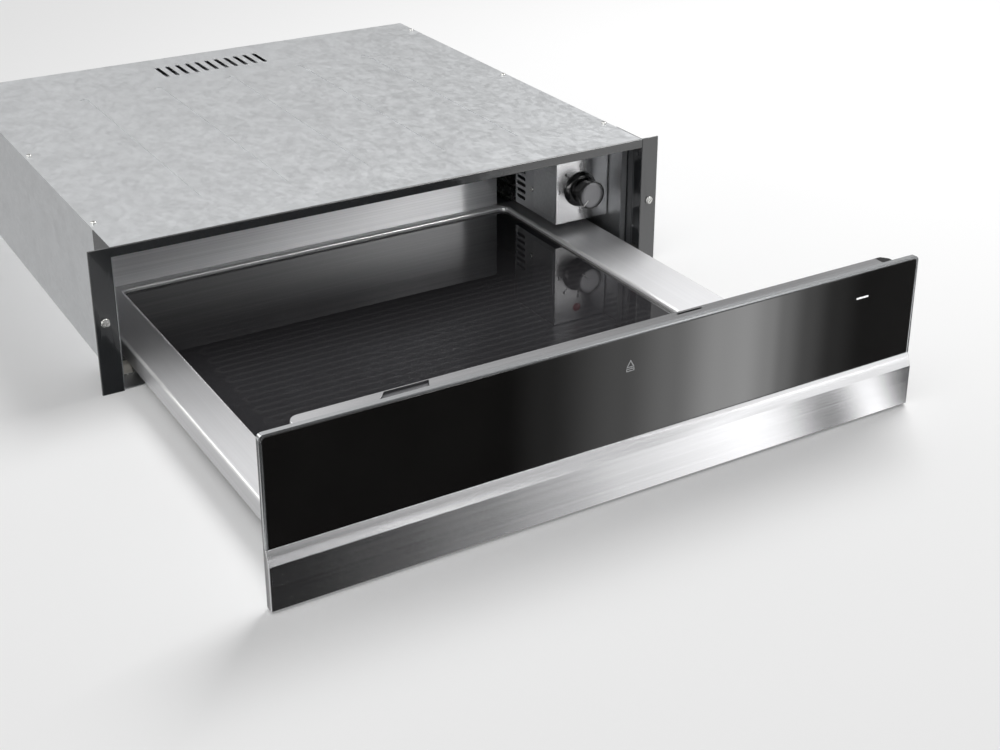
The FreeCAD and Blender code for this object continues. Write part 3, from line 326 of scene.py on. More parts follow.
# %% Galvanised and plated steel
def galvanised(name, colour):
    """Zinc coated sheet with crystals about 5 mm wide, a little longer along the mill's rolling."""
    zinc = Finish(name, {"Metallic": 1.0})
    sway = zinc.noise(35.0, detail=3.0)
    wobble_sockets = {"Vector": zinc.place, "Scale": 260.0, "Detail": 2.0}
    wobble = zinc.graph.node("TexNoise", wobble_sockets, output=1)
    bent = zinc.place + (wobble - (0.5, 0.5, 0.5)) * (3 * mm, 3 * mm, 3 * mm)
    rolled = bent * (1.0, 0.72, 1.0)
    cell_sockets = {"Vector": rolled, "Scale": 190.0, "Randomness": 1.0}
    cells = zinc.graph.node("TexVoronoi", cell_sockets, output=1)
    crystal, other = cells.axes()[:2]
    tone = (crystal * 0.45 + sway * 0.55).step(0.15, 0.85)
    zinc.set({"Base Color": tone.mix([c * 0.93 for c in colour], colour)})
    zinc.set({"Roughness": other * 0.07 + sway * 0.08 + 0.33})
    zinc.bump(zinc.noise(420.0), 0.02 * mm, 0.3)


def plated(name, colour, roughness):
    """Bright plated hardware, slightly cloudy."""
    metal = Finish(name, {"Metallic": 1.0})
    metal.vary(metal.noise(300.0, detail=3.0), colour, 0.9, roughness, 0.16)


galvanised("galvanised_steel", (0.54, 0.55, 0.56))
plated("plated_steel", (0.68, 0.68, 0.66), 0.26)
plated("heater_foil", (0.72, 0.60, 0.42), 0.3)
plated("bare_foil", (0.62, 0.63, 0.64), 0.42)
print("galvanised and plated steel")

# %% [markdown]
# ## Satin aluminium
#
# The rim round the front glass is anodised aluminium: a light satin metal, with a grain so fine
# that it only softens the reflections. The disc in the knob is turned on a lathe, so its grain
# runs in rings. A ring pattern needs only the distance from the knob's axis, read from the exact
# node's middle.

# %% Satin aluminium
def satin(name, colour, roughness):
    """Anodised aluminium with a fine even grain."""
    metal = Finish(name, {"Metallic": 1.0})
    metal.vary(metal.noise(2500.0), colour, 0.95, roughness, 0.08)


def turned(name, colour, roughness, middle_x, middle_z):
    """Metal with fine rings round an axis that runs along y."""
    metal = Finish(name, {"Metallic": 1.0})
    x, _, z = metal.place.axes()
    radius = ((x - middle_x) ** 2 + (z - middle_z) ** 2) ** 0.5
    ring_sockets = {"W": radius, "Scale": 1800.0, "Detail": 3.0}
    rings = metal.graph.node("TexNoise", ring_sockets, noise_dimensions="1D")
    metal.vary(rings, colour, 0.86, roughness, 0.14)
    metal.bump(rings, 0.012 * mm, 0.5)


knob_low, knob_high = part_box("knob_body")
knob_x = (knob_low.x + knob_high.x) / 2
knob_z = (knob_low.z + knob_high.z) / 2
satin("pale_aluminium", (0.50, 0.51, 0.52), 0.22)
turned("turned_aluminium", (0.27, 0.27, 0.28), 0.34, knob_x, knob_z)
print("satin aluminium, and rings round", round(knob_x / mm, 1), round(knob_z / mm, 1))

# %% [markdown]
# ## Black glass
#
# The front and the heated plate are glass with a black print behind, so the surface is a clean
# mirror over a deep black. What little texture there is comes from the print and from the heater
# under the plate: a flat track that runs to and fro, and shows through as faint lines 10.5 mm
# apart with a round turn at each end.

# %% Black glass
def glass_sheet(name, refraction):
    """A sheet of glass: a mirror with a trace of waviness."""
    glass = Finish(name, {"Roughness": 0.02, "IOR": refraction})
    glass.bump(glass.noise(9.0), 0.02 * mm, 0.12)
    return glass


front_sheet = glass_sheet("black_glass", 1.72)
front_sheet.vary(front_sheet.noise(20.0), (0.0130, 0.0126, 0.0121), 0.85)
print("black glass")

# %% [markdown]
# The track is worked out as a distance. Two neighbouring runs and the turn that joins them are all
# half a pitch away from the point or line midway between them, so one square root gives the runs
# and the turns alike. The pairs change partners from the left end to the right end, which joins
# everything into one track. Its place is read from the exact heater node.
#
# The plate's mirror is a coat over a dull print, so that the track dims nothing of the reflection.

# %% Heated glass
track_pitch = 10.5 * mm
track_band = 5.0 * mm
track_width = 3.4 * mm
track_edge = 0.5 * mm
heater_low, heater_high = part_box("heater_element")
track_left = heater_low.x + (track_band + track_pitch) / 2
track_right = heater_high.x - (track_band + track_pitch) / 2
track_first = heater_low.y + track_band / 2


def heated_glass(name, black, track):
    """Black glass with the heater's track under it. The coat is the mirror, the rest the print."""
    glass = glass_sheet(name, 1.5)
    glass.set({"Roughness": 0.5, "Specular IOR Level": 0.0})
    glass.set({"Coat Weight": 1.0, "Coat Roughness": 0.02, "Coat IOR": 1.8})
    x, y = glass.place.axes()[:2]
    # The place within a pair of runs, from 0 to 1. Twenty whole pairs are added to keep it above 0.
    at_left = 1 - x.step(-1 * mm, 1 * mm)
    pair = ((y - track_first) / (2 * track_pitch) + at_left * 0.5 + 20.0).fraction()
    # The distance from the line midway between the two runs. Past three quarters it wraps round.
    from_middle = (pair - 0.25) * (2 * track_pitch)
    from_middle = from_middle - (pair.step(0.7499, 0.7501) * (2 * track_pitch))
    beyond = (track_left - x).at_least(x - track_right).at_least(0.0)
    reach = (from_middle * from_middle + beyond * beyond) ** 0.5
    off_track = abs(reach - track_pitch / 2)
    line = 1 - off_track.step(track_width * 0.35, track_width * 0.65)
    wear = glass.noise(60.0).step(0.2, 0.8)
    within = y.band((heater_low.y - track_edge, heater_low.y),
                    (heater_high.y, heater_high.y + track_edge))
    glass.set({"Base Color": (line * within * (wear * 0.4 + 0.6)).mix(black, track)})


heated_glass("heated_glass", black=(0.0280, 0.0272, 0.0295), track=(0.042, 0.041, 0.043))
heater_runs = round((heater_high.y - heater_low.y) / track_pitch)
print(heater_runs, "heater runs under the plate")

# %% [markdown]
# ## Enamel, plastics, rubber and the rest
#
# The mounting flanges are glossy dark enamel: paint with a clear hard skin and the faintest orange
# peel. Moulded plastics differ mostly in colour and in how fine their surface is, so one function
# makes them all.

# %% Enamel and plastics
def enamel(name, colour):
    """Glossy stoved enamel with a slight orange peel."""
    skin = {"Roughness": 0.12, "IOR": 1.6, "Coat Roughness": 0.03, "Coat Weight": 0.6}
    enamelled = Finish(name, skin)
    enamelled.vary(enamelled.noise(30.0), colour, 0.88)
    enamelled.bump(enamelled.noise(260.0), 0.03 * mm, 0.12)


def moulded(name, colour, roughness, grain=900.0, depth=0.02 * mm):
    """Moulded plastic or rubber: an even colour with a slight cloud and a fine skin."""
    plastic = Finish(name, {"IOR": 1.48})
    plastic.vary(plastic.noise(90.0, detail=3.0), colour, 0.9, roughness, 0.12)
    plastic.bump(plastic.noise(grain), depth, 0.3)


enamel("dark_enamel", (0.026, 0.028, 0.030))
moulded("black_plastic", (0.010, 0.010, 0.011), 0.13, depth=0.005 * mm)
moulded("pocket_plastic", (0.085, 0.085, 0.09), 0.5)
moulded("grey_plastic", (0.30, 0.30, 0.31), 0.40)
moulded("white_plastic", (0.86, 0.86, 0.84), 0.35)
moulded("cream_plastic", (0.74, 0.71, 0.64), 0.42)
moulded("rubber", (0.020, 0.020, 0.021), 0.62, grain=700.0, depth=0.04 * mm)
moulded("circuit_board", (0.035, 0.13, 0.06), 0.4)
moulded("insulation", (0.56, 0.53, 0.46), 0.9, grain=450.0, depth=0.4 * mm)
moulded("grey_print", (0.60, 0.61, 0.62), 0.45)
moulded("dark_print", (0.05, 0.05, 0.055), 0.5)
print(len(finishes), "finishes so far")

# %% [markdown]
# The lamp lens is clear red plastic over a dark holder, and the light guide behind the front glass
# is clear. Both stay opaque here, with a glow or a deep colour, because so little of them shows.

# %% Lens and light guide
def lens(name, colour, glow, strength):
    """Tinted clear plastic with a little light in it."""
    skin = {"Roughness": 0.08, "IOR": 1.49, "Coat Weight": 0.5, "Emission Strength": strength}
    plastic = Finish(name, skin)
    depth = plastic.noise(600.0)
    plastic.vary(depth, colour, 0.6)
    plastic.set({"Emission Color": depth.step(0.3, 0.7).mix([c * 0.7 for c in glow], glow)})


lens("red_lens", (0.26, 0.018, 0.035), (0.30, 0.01, 0.02), 0.25)
lens("clear_plastic", (0.7, 0.72, 0.74), (1.0, 1.0, 1.0), 0.3)
lens("glow", (0.9, 0.9, 0.9), (1.0, 1.0, 1.0), 0.9)
print(len(finishes), "finishes in all")

# %% [markdown]
# ## Dress the exact nodes
#
# Each node comes with a plain material that is named after its slot in the record, so one loop
# hands every node its finish. Some steel sheets have a finish of their own, and so have the heated
# plate and the knob's disc.

# %% Dress the nodes
own_finish = {
    "tray_deck": "tray_steel",
    "rear_panel": "rear_steel",
    "control_panel": "fascia_steel",
    "inner_front_panel": "strip_steel",
    "heated_plate": "heated_glass",
    "knob_cap": "turned_aluminium",
}
for node_name, node in nodes.items():
    for material_slot in node.material_slots:
        finish_name = own_finish.get(node_name, material_slot.material.name)
        material_slot.material = finishes[finish_name]
print("dressed", len(nodes), "nodes")

# %% [markdown]
# ## Modelling helpers
#
# New pieces are modelled as by hand: a primitive is added at its place, then shaped in edit mode.
# An operator works on whatever is selected, so each step first holds the pieces that it is for.

# %% Start a piece
def hold(*pieces):
    """Select only these pieces, and make the first one active."""
    let_go()
    for piece in pieces:
        piece.select_set(True)
    bpy.context.view_layer.objects.active = pieces[0]


def begin(name, add, scale=(1.0, 1.0, 1.0), **settings):
    """Add a primitive with nothing else selected, scale it, name it, and enter edit mode.

    A cube and a plane are added 2 metres wide, so for them the scale is half the size.
    """
    let_go()
    add(**settings)
    piece = bpy.context.object
    piece.name = name
    piece.scale = scale
    bpy.ops.object.transform_apply(location=True, rotation=True, scale=True)
    bpy.ops.object.mode_set(mode="EDIT")
    return piece


print("a piece starts with begin")

# %% [markdown]
# A piece may get a modifier, or be joined with others. A modifier is applied at once, so that what
# the next step sees is plain mesh.

# %% Modify and join
def modify(piece, kind, **settings):
    """Leave edit mode, add a modifier and apply it."""
    hold(piece)
    modifier = piece.modifiers.new(kind.lower(), kind)
    for setting, value in settings.items():
        setattr(modifier, setting, value)
    bpy.ops.object.modifier_apply(modifier=modifier.name)


def join(name, pieces):
    """Make one piece of several."""
    hold(*pieces)
    bpy.ops.object.join()
    pieces[0].name = name
    return pieces[0]


print("modify and join ready")

# %% [markdown]
# At the end a piece gets its finish and its body. Merging points that lie on each other closes the
# mesh, so that its faces can be pointed outwards. Smooth shading up to 35 degrees keeps real edges
# sharp. The body carries the piece, so that it moves with the joints.

# %% Finish a piece
def finish_piece(piece, body, finish):
    """Point the faces outwards, smooth what is round, and let the piece ride on its body."""
    if piece.mode == "EDIT":
        bpy.ops.mesh.select_all(action="SELECT")
        bpy.ops.mesh.remove_doubles(threshold=0.00001 * mm)
        bpy.ops.mesh.normals_make_consistent(inside=False)
    hold(piece)
    bpy.ops.object.shade_smooth_by_angle(angle=math.radians(35))
    piece.data.materials.clear()
    piece.data.materials.append(finishes[finish])
    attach(piece, body)
    let_go()
    print(piece.name, "faces", len(piece.data.polygons), "rides on", body)


print("a piece ends with finish_piece")

# %% [markdown]
# ## Marks on the front glass
#
# The front has no handle: it is pushed, and a small printed sign says so, a triangle over a bar.
# At its right end a short white line of light shows that the drawer is on. Printed ink and a lit
# window are thin layers, so both are flat shapes with a few hundredths of a millimetre of
# thickness, just proud of the glass.

# %% Push sign
upright = (math.pi / 2, 0.0, 0.0)
glass_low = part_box("front_glass")[0]
ink = 0.05 * mm
ink_y = glass_low.y - ink
sign_x = 4.0 * mm
triangle_z = 114.2 * mm
triangle_radius = 4.3 * mm
triangle_line = 0.75 * mm
bar_z = 110.0 * mm
bar_half = (3.7 * mm, 1.2 * mm, 1.0)
bar_line = 0.675 * mm


def outline(width):
    """In edit mode, turn the selected flat face into an outline of this width."""
    bpy.ops.mesh.inset(thickness=width)
    bpy.ops.mesh.delete(type="FACE")


triangle = begin("push_triangle", bpy.ops.mesh.primitive_circle_add, vertices=3,
                 radius=triangle_radius, fill_type="NGON", location=(sign_x, ink_y, triangle_z),
                 rotation=upright)
outline(triangle_line)
bar = begin("push_bar", bpy.ops.mesh.primitive_plane_add, bar_half,
            location=(sign_x, ink_y, bar_z), rotation=upright)
outline(bar_line)
sign = join("push_sign", [triangle, bar])
modify(sign, "SOLIDIFY", thickness=ink, offset=0.0)
finish_piece(sign, "drawer", "grey_print")

# %% [markdown]
# The light window is a small plane with rounded corners, in front of the light guide.

# %% Light window
window_half = (6.5 * mm, 0.8 * mm, 1.0)
guide_low, guide_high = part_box("light_guide")
window_place = ((guide_low.x + guide_high.x) / 2, ink_y, (guide_low.z + guide_high.z) / 2)
window = begin("light_window", bpy.ops.mesh.primitive_plane_add, window_half,
               location=window_place, rotation=upright)
bpy.ops.mesh.bevel(offset=0.5 * mm, segments=4, affect="VERTICES")
modify(window, "SOLIDIFY", thickness=ink, offset=0.0)
finish_piece(window, "drawer", "glow")

# %% [markdown]
# ## Round edges on the pressed sheet
#
# The exact nodes are shaded flat, facet by facet. On a rounded fold that breaks a highlight into
# steps, and the fold round the tray's recess is where the eye goes. So the sheets with round folds
# are copied, their loose triangles are merged, and the copies are shaded smooth. Weighted normals
# keep the big flat faces truly flat.

# %% Smooth copies
def smoothed(name, body):
    """Show a copy of an exact node instead of it, its triangles merged and its rounds smooth."""
    let_go()
    piece = nodes[name].copy()
    piece.data = nodes[name].data.copy()
    piece.name = name + "_smooth"
    bpy.context.scene.collection.objects.link(piece)
    hold(piece)
    bpy.ops.object.mode_set(mode="EDIT")
    bpy.ops.mesh.select_all(action="SELECT")
    bpy.ops.mesh.remove_doubles(threshold=0.001 * mm)
    bpy.ops.object.mode_set(mode="OBJECT")
    bpy.ops.object.shade_smooth_by_angle(angle=math.radians(32))
    modify(piece, "WEIGHTED_NORMAL", keep_sharp=True)
    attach(piece, body)
    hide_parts(name)
    let_go()
    print(piece.name, "faces", len(piece.data.polygons))


smooth_copies = [
    ("tray_deck", "drawer", "brushed_steel"),
    ("front_frame", "drawer", "pale_aluminium"),
    ("steel_panel", "drawer", "brushed_steel"),
    ("inner_front_panel", "drawer", "brushed_steel"),
    ("right_end_cap", "drawer", "black_plastic"),
    ("front_glass", "drawer", "black_glass"),
    ("heated_plate", "drawer", "black_glass"),
    ("right_flange", "casing", "dark_enamel"),
    ("left_flange", "casing", "dark_enamel"),
    ("top_strip", "casing", "dark_enamel"),
]
for sheet_name, sheet_body, sheet_slot in smooth_copies:
    smoothed(sheet_name, sheet_body)

# %% [markdown]
# ## The heat control knob
#
# The knob is one glossy moulding: a wide low skirt against the fascia, a step, and a waisted grip
# that widens to the front, where a turned metal disc is let in. It is a lathe shape. A profile
# could be spun round the axis, but here it starts as a flat disc at the back and is extruded
# forward ring by ring, because a list of rings is easy to read and to change. Each ring is drawn
# out and then widened or narrowed.

# %% A lathe in edit mode
def extrude(x, y, z):
    """In edit mode, extrude what is selected this far."""
    bpy.ops.mesh.extrude_region_move(TRANSFORM_OT_translate={"value": (x, y, z)})


def lathe(name, rings, middle, segments=96):
    """Turn a piece on an axis along y: rings are (radius, y) in millimetres, from back to front."""
    rings = [(radius * mm, y * mm) for radius, y in rings]
    first_radius, first_y = rings[0]
    piece = begin(name, bpy.ops.mesh.primitive_circle_add, vertices=segments, radius=first_radius,
                  fill_type="NGON", location=(middle[0], first_y, middle[1]), rotation=upright)
    for (radius, y), (last_radius, last_y) in zip(rings[1:], rings):
        extrude(0.0, y - last_y, 0.0)
        ratio = radius / last_radius
        axis_point = (middle[0], y, middle[1])
        bpy.ops.transform.resize(value=(ratio, 1.0, ratio), center_override=axis_point)
    return piece


print("lathe ready")

# %% [markdown]
# The rings run from the back of the skirt to the inside of the rim. A bevel rounds every hard
# ring, because a highlight only lives on a rounded edge.

# %% Knob body
knob_middle = (knob_x, knob_z)
knob_rings = [
    (18.6, 54.4), (19.0, 53.9), (18.9, 53.2), (17.7, 51.4), (16.4, 49.9), (15.6, 49.5),
    (13.7, 49.4), (13.2, 48.2), (13.6, 42.0), (14.4, 36.5), (15.0, 34.0), (15.0, 32.2),
    (14.7, 32.0), (13.5, 32.0), (13.45, 32.6), (12.0, 32.6),
]
knob = lathe("knob_grip", knob_rings, knob_middle)
modify(knob, "BEVEL", width=0.35 * mm, segments=3, limit_method="ANGLE",
       angle_limit=math.radians(24))
finish_piece(knob, "knob", "black_plastic")
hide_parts("knob_body")

# %% [markdown]
# The disc is turned aluminium. It has a chamfer round its edge that catches the light, and a
# hair's breadth of doming. It is made on the same lathe.

# %% Knob disc
cap_rings = [(13.3, 32.75), (13.35, 32.1), (13.0, 31.92), (10.0, 31.9), (5.0, 31.9), (0.6, 31.9)]
cap = lathe("knob_disc", cap_rings, knob_middle)
finish_piece(cap, "knob", "turned_aluminium")
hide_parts("knob_cap")

# %% [markdown]
# The pointer is a white bar let into the disc and the rim. It could be placed on its slant, but it
# is simpler to add it right over the axis, bevel its front, and turn it to its place round the
# axis. `pick` finds the front by the way its faces look, so no face is known by its number.

# %% Pointer
to_front = Vector((0.0, -1.0, 0.0))


def pick(direction):
    """In edit mode, select the faces that look this way."""
    bpy.ops.mesh.select_mode(type="FACE")
    bpy.ops.mesh.select_all(action="DESELECT")
    shape = bmesh.from_edit_mesh(bpy.context.object.data)
    shape.normal_update()
    for face in shape.faces:
        if face.normal.dot(direction) > 0.9:
            face.select_set(True)
    bmesh.update_edit_mesh(bpy.context.object.data)


pointer_turn = math.radians(225.0)
pointer_inner = 6.8 * mm
pointer_outer = 14.7 * mm
pointer_half = (0.7 * mm, 0.2 * mm, (pointer_outer - pointer_inner) / 2)
pointer_place = (knob_x, 32.02 * mm, knob_z + (pointer_inner + pointer_outer) / 2)
pointer = begin("knob_mark", bpy.ops.mesh.primitive_cube_add, pointer_half,
                location=pointer_place)
pick(to_front)
bpy.ops.mesh.bevel(offset=0.12 * mm, segments=2, affect="EDGES")
bpy.ops.mesh.select_all(action="SELECT")
bpy.ops.transform.rotate(value=-pointer_turn, orient_axis="Y",
                         center_override=(knob_x, 0.0, knob_z))
finish_piece(pointer, "knob", "white_plastic")
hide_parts("knob_pointer")

# %% [markdown]
# ## Finger pocket
#
# The strip on top of the front has a slanted grip slot, and one would look through it into the
# hollow panel. A small moulded pocket closes it from below. It starts as a block, and its top face
# is inset and pushed down.

# %% Finger pocket
strip_low, strip_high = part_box("inner_front_panel")
pocket_left = strip_low.x + 64.5 * mm
pocket_right = strip_low.x + 113.5 * mm
pocket_front = strip_low.y + 0.3 * mm
pocket_back = strip_high.y - 1.1 * mm
pocket_bottom = strip_high.z - 6.0 * mm
pocket_top = strip_high.z - 1.05 * mm
pocket_wall = 0.5 * mm
pocket_depth = 1.2 * mm

pocket_low = Vector((pocket_left, pocket_front, pocket_bottom))
pocket_high = Vector((pocket_right, pocket_back, pocket_top))
pocket = begin("finger_pocket", bpy.ops.mesh.primitive_cube_add, (pocket_high - pocket_low) / 2,
               location=(pocket_low + pocket_high) / 2)
pick(Vector((0.0, 0.0, 1.0)))
bpy.ops.mesh.inset(thickness=pocket_wall)
extrude(0.0, 0.0, -pocket_depth)
bpy.ops.mesh.inset(thickness=0.3 * mm)
finish_piece(pocket, "drawer", "pocket_plastic")

# %% [markdown]
# ## The lamp lens
#
# The lamp near the knob is a clear red moulding with a flat flange and a low dome. It is turned
# like the knob.

# %% Lamp lens
lens_low, lens_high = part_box("indicator_lens")
lens_middle = ((lens_low.x + lens_high.x) / 2, (lens_low.z + lens_high.z) / 2)
lens_rings = [
    (4.0, 60.5), (4.0, 55.0), (4.7, 54.98), (4.7, 54.4), (4.5, 54.2), (4.0, 54.18),
    (3.9, 53.7), (3.4, 53.25), (2.6, 52.93), (1.5, 52.7), (0.3, 52.62),
]
lens_dome = lathe("lamp_dome", lens_rings, lens_middle, segments=64)
finish_piece(lens_dome, "casing", "red_lens")
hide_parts("indicator_lens")

# %% [markdown]
# ## Dial numbers
#
# The heat control turns from 0 to 4, and its numbers are printed on the fascia round the knob,
# each with a small dot on the knob's side. Text is a curve in Blender, so each number is made a
# mesh, set upright, and thickened like the other prints.

# %% Dial numbers
fascia_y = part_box("control_panel")[0].y
print_y = fascia_y - 0.02 * mm
print_thickness = 0.04 * mm
number_distance = 25.6 * mm
number_height = 6.2 * mm
number_weight = 0.09 * mm
number_turns = [0, 90, 180, 270, 315]
dot_distance = 21.4 * mm
dot_radius = 0.75 * mm


def on_dial(distance, turn):
    """A place on the fascia, so far from the knob's axis, so many degrees on from the top."""
    angle = math.radians(turn)
    return (knob_x + distance * math.sin(angle), print_y, knob_z + distance * math.cos(angle))


def number(value, turn):
    """Print one number and its dot."""
    let_go()
    bpy.ops.object.text_add()
    text = bpy.context.object
    text.data.body = str(value)
    text.data.align_x = "CENTER"
    text.data.align_y = "CENTER"
    text.data.size = number_height
    text.data.offset = number_weight
    text.data.resolution_u = 4
    bpy.ops.object.convert(target="MESH")
    text = bpy.context.object
    text.rotation_euler = upright
    text.location = on_dial(number_distance, turn)
    bpy.ops.object.transform_apply(location=True, rotation=True, scale=True)
    modify(text, "SOLIDIFY", thickness=print_thickness, offset=0.0)
    dot = begin("dot", bpy.ops.mesh.primitive_cylinder_add, vertices=20, radius=dot_radius,
                depth=print_thickness, location=on_dial(dot_distance, turn), rotation=upright)
    return [text, dot]


prints = []
for value, turn in enumerate(number_turns):
    prints += number(value, turn)
dial = join("dial_numbers", prints)
finish_piece(dial, "casing", "dark_print")

# %% [markdown]
# ## Flange screws
#
# One screw through each flange holds the casing to the cabinet. It is a plated screw with a
# rounded head and a cross recess. The head starts as a short cylinder: its front edge is rounded,
# and the cross is cut out of it.

# %% Flange screws
screw_place = Vector((288.0, -2.6, 69.0)) * mm
head_radius = 4.2 * mm
head_height = 2.2 * mm
cross_width = 1.0 * mm
cross_length = 4.4 * mm
cross_half_depth = 0.8 * mm


def flange_screw(name, side):
    """Model the screw head in the flange on this side, 1 for right and -1 for left."""
    place = Vector((side * screw_place.x, screw_place.y, screw_place.z))
    head = begin(name, bpy.ops.mesh.primitive_cylinder_add, vertices=40, radius=head_radius,
                 depth=head_height, location=place, rotation=upright)
    pick(to_front)
    bpy.ops.mesh.bevel(offset=0.9 * mm, segments=4, affect="EDGES")
    for width, height in ((cross_width, cross_length), (cross_length, cross_width)):
        cutter = begin("cross", bpy.ops.mesh.primitive_cube_add,
                       (width / 2, cross_half_depth, height / 2),
                       location=place + to_front * head_height / 2)
        modify(head, "BOOLEAN", object=cutter, operation="DIFFERENCE", solver="EXACT")
        bpy.data.objects.remove(cutter)
    finish_piece(head, "casing", "plated_steel")


flange_screw("right_flange_screw", 1)
flange_screw("left_flange_screw", -1)

# %% [markdown]
# ## The studio
#
# Steel and black glass show little of their own: what is seen in them is the room. A photographer
# stands tall cards and soft boxes round such a thing, and so does this scene. Three soft boxes and
# an even world give plain light. The cards are levels that only gloss sees.
#
# The floor is plain and pale, and takes the drawer's shadow. Some way off it fades to the white of
# the backdrop, so that no horizon shows. Gloss looks through it to the cards.

# %% Floor
def ray_masks(graph):
    """Two masks: 1 for what the camera sees itself, and 1 for what gloss sees."""
    rays = graph.node("LightPath").socket.node
    return [Signal(graph.tree, rays.outputs[kind]) for kind in ("Is Camera Ray", "Is Glossy Ray")]


let_go()
bpy.ops.mesh.primitive_plane_add(size=14.0, location=(0.0, 0.0, 0.0))
floor = bpy.context.object
floor.name = "floor"
floor_paint = bpy.data.materials.new("floor_paint")
floor_paint.use_nodes = True
floor_paint.node_tree.nodes.clear()
paint = Signal(floor_paint.node_tree)
floor_camera, floor_gloss = ray_masks(paint)
matt = paint.node("BsdfDiffuse", {"Color": (0.86, 0.86, 0.86)})
white = paint.node("Emission", {"Color": (1.0, 1.0, 1.0), "Strength": 1.0})
clear = paint.node("BsdfTransparent")
floor_x, floor_y = paint.node("TexCoord", output=3).axes()[:2]
far = ((floor_x * floor_x + floor_y * floor_y) ** 0.5).step(0.8, 3.2)
seen = paint.node("MixShader", {0: floor_camera * (far * 0.9 + 0.1), 1: matt, 2: white})
paint.node("OutputMaterial", {0: paint.node("MixShader", {0: floor_gloss, 1: seen, 2: clear})})
floor.data.materials.append(floor_paint)
print("floor", tuple(floor.dimensions))

# %% [markdown]
# ### Cards in the world
#
# A mirrored direction is easiest to think of as a place on two big walls, one in front of the
# drawer and one behind it. `across` is how far to the right a ray goes for each metre forward or
# back, and `rise` how far up. `aside` is how far to the right it goes for each metre in the
# directions square to that, up and down included. Brushing smears a reflection along lines of
# equal `aside`, so the cards for the steel are laid out along it. On each wall the cards are soft
# steps of light.
#
# Seen from the camera, the upright front mirrors the lower part of the front wall. The glass sees
# a narrow band of it, with one tall bright card. The steel, with its smear, sees everything round
# that band, and its cards leave a dark gap. The slanted edge between the two sees the wall near
# the horizon. The rear panel faces the heated glass, which throws its rays up again, so it sees
# the upper part of the front wall, where the rear card hangs. The left card is for rounds that
# look to the left, such as the knob's skirt.
#
# The tray, its glass and the strip on top of the front mirror the upper part of the back wall. The
# top card there lightens the deck, and the edge card draws the light lines along the folds.

# %% World
world = bpy.data.worlds.new("studio")
bpy.context.scene.world = world
world.use_nodes = True
world.node_tree.nodes.clear()
world.cycles.sampling_method = "NONE"
air = Signal(world.node_tree)
ray_x, ray_y, ray_z = air.node("TexCoord", output=0).axes()
world_camera, world_gloss = ray_masks(air)
forward = abs(ray_y).at_least(0.08)
across = ray_x / forward
rise = ray_z / forward
aside = ray_x / ((ray_y * ray_y + ray_z * ray_z) ** 0.5)


def cards(signal, stops):
    """Soft steps of light along a signal: stops are (place, level), in rising order."""
    first, last = stops[0][0], stops[-1][0]
    brightest = max(level for place, level in stops)
    scaled = [((place - first) / (last - first), level / brightest) for place, level in stops]
    ramp = air.node("ValToRGB", {0: (signal - first) / (last - first)}, stops=scaled)
    return ramp.axes()[0] * brightest


print("directions ready")

# %% [markdown]
# The front wall has four heights: the glass's band, the rest of the low part, the horizon, and the
# upper part with the rear and left cards.

# %% Front wall
steel_cards = cards(aside, [
    (-1.25, 1.3), (-0.72, 0.12), (-0.45, 0.5), (-0.16, 0.35), (0.16, 0.06), (0.32, 0.03),
    (0.40, 0.13), (0.46, 0.36), (0.526, 0.80), (0.586, 1.25), (0.65, 1.4), (0.70, 1.4),
    (0.724, 1.3), (0.745, 0.8), (0.762, 0.15), (0.778, 0.0), (0.790, 0.4), (0.803, 1.6),
    (0.815, 3.1), (0.828, 3.1), (0.838, 1.0), (0.848, 0.0), (0.95, 0.0), (1.05, 0.5)])
horizon_cards = cards(aside, [
    (-1.4, 0.7), (-0.36, 0.9), (-0.08, 0.3), (0.12, 0.06), (0.22, 0.15), (0.34, 0.44),
    (0.44, 0.74), (0.60, 1.0), (0.70, 1.45), (0.80, 1.65), (0.90, 1.5), (1.2, 0.9)])
glass_cards = cards(across, [
    (0.60, 0.0), (0.641, 0.13), (0.719, 0.7), (0.772, 1.4), (0.826, 2.8), (0.855, 3.0),
    (0.884, 2.2), (0.90, 1.4), (0.929, 0.6), (0.96, 0.2), (1.0, 0.05), (1.4, 0.3)])
upper_cards = cards(across, [
    (-1.2, 0.8), (-0.5, 0.5), (0.0, 0.45), (0.18, 0.40), (0.30, 0.3), (0.64, 0.3),
    (0.65, 3.2), (0.676, 3.2), (0.686, 0.15), (0.75, 0.15), (1.1, 0.9)])
rear_card = cards(across, [
    (0.22, 0.0), (0.32, 0.9), (0.44, 2.4), (0.475, 10.0), (0.54, 15.0), (0.57, 0.0)])
rear_card = rear_card * rise.band((0.22, 0.29), (0.47, 0.66))
left_card = (1 - across.step(-1.1, -0.9)) * (1 - rise.step(0.8, 1.1)) * 4.0
glass_band = rise.band((-0.715, -0.705), (-0.597, -0.587))
low_front = glass_band.blend(steel_cards, glass_cards)
high_front = across.step(0.7, 1.4) * 0.85 + 0.55
upper_front = rise.step(1.2, 1.7).blend(upper_cards, high_front)
middle_front = rise.step(0.11, 0.15).blend(horizon_cards, upper_front + rear_card + left_card)
front_wall = rise.step(-0.28, -0.16).blend(low_front, middle_front)
print("front wall cards")

# %% [markdown]
# The back wall is simpler: an even light low down, with a step to the left, and above it a slope
# of light with the top and edge cards.

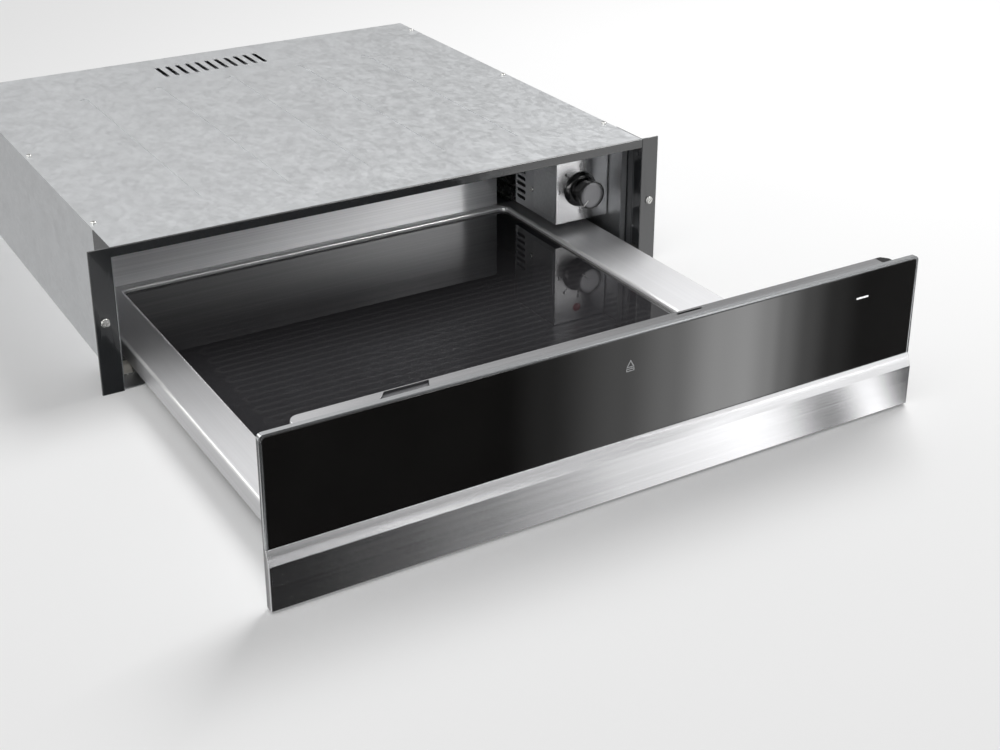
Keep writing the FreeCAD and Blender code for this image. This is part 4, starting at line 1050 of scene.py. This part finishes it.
# %% Back wall
upper_back = cards(across, [
    (-1.0, 0.6), (-0.3, 0.75), (0.30, 0.88), (0.42, 0.84), (0.50, 0.58), (0.62, 0.42),
    (0.80, 0.28), (1.1, 0.4)])
top_card = rise.step(0.70, 0.95) * ((1 - across.step(0.40, 0.75)) * 0.9 + 0.1)
edge_card = across.band((-0.75, -0.60), (-0.36, -0.28)) * rise.step(0.30, 0.40) * 2.8
middle_back = rise.step(0.40, 0.50).blend(0.48, upper_back + top_card)
low_back = across.step(-0.36, -0.30).blend(0.85, 0.28)
back_wall = rise.step(-0.15, 0.05).blend(low_back, middle_back + edge_card)
print("back wall cards")

# %% [markdown]
# Rays that go mostly sideways or straight up hit neither wall. They see a sky that brightens
# upwards. The camera sees white, matt surfaces see one plain level, and only gloss sees all this.

# %% Put the world together
sky = cards(ray_z, [(-1.0, 0.3), (0.0, 0.3), (0.4, 0.6), (0.75, 1.3), (1.0, 1.4)])
is_front = (0 - ray_y).step(0.08, 0.2)
is_back = ray_y.step(0.08, 0.2)
gloss_level = front_wall * is_front + back_wall * is_back + sky * (1 - is_front - is_back)
plain_level = 0.25
level = world_camera.blend(world_gloss.blend(plain_level, gloss_level), 1.0)
backdrop = air.node("Background", {"Color": (1.0, 1.0, 1.0), "Strength": level})
air.node("OutputWorld", {0: backdrop})
print("world ready")

# %% [markdown]
# The key box hangs high on the right and throws the soft shadow to the left. The two others only
# lift the dark sides.

# %% Soft boxes
def soft_box(name, place, aim, size, watts):
    """Hang an area lamp that looks at a point."""
    lamp = bpy.data.lights.new(name, "AREA")
    lamp.shape = "RECTANGLE"
    lamp.size, lamp.size_y = size
    lamp.energy = watts
    box = bpy.data.objects.new(name, lamp)
    bpy.context.scene.collection.objects.link(box)
    box.location = place
    box.rotation_euler = (Vector(aim) - Vector(place)).to_track_quat("-Z", "Y").to_euler()
    box.visible_camera = False


over_tray = (0.0, -0.1, 0.05)
soft_box("key_box", (1.4, 0.5, 2.0), over_tray, size=(1.3, 1.0), watts=46.0)
soft_box("fill_box", (-0.9, -0.9, 2.1), over_tray, size=(1.6, 1.4), watts=14.0)
soft_box("left_box", (-2.2, 0.3, 0.9), over_tray, size=(1.6, 0.9), watts=6.0)
print("three soft boxes")
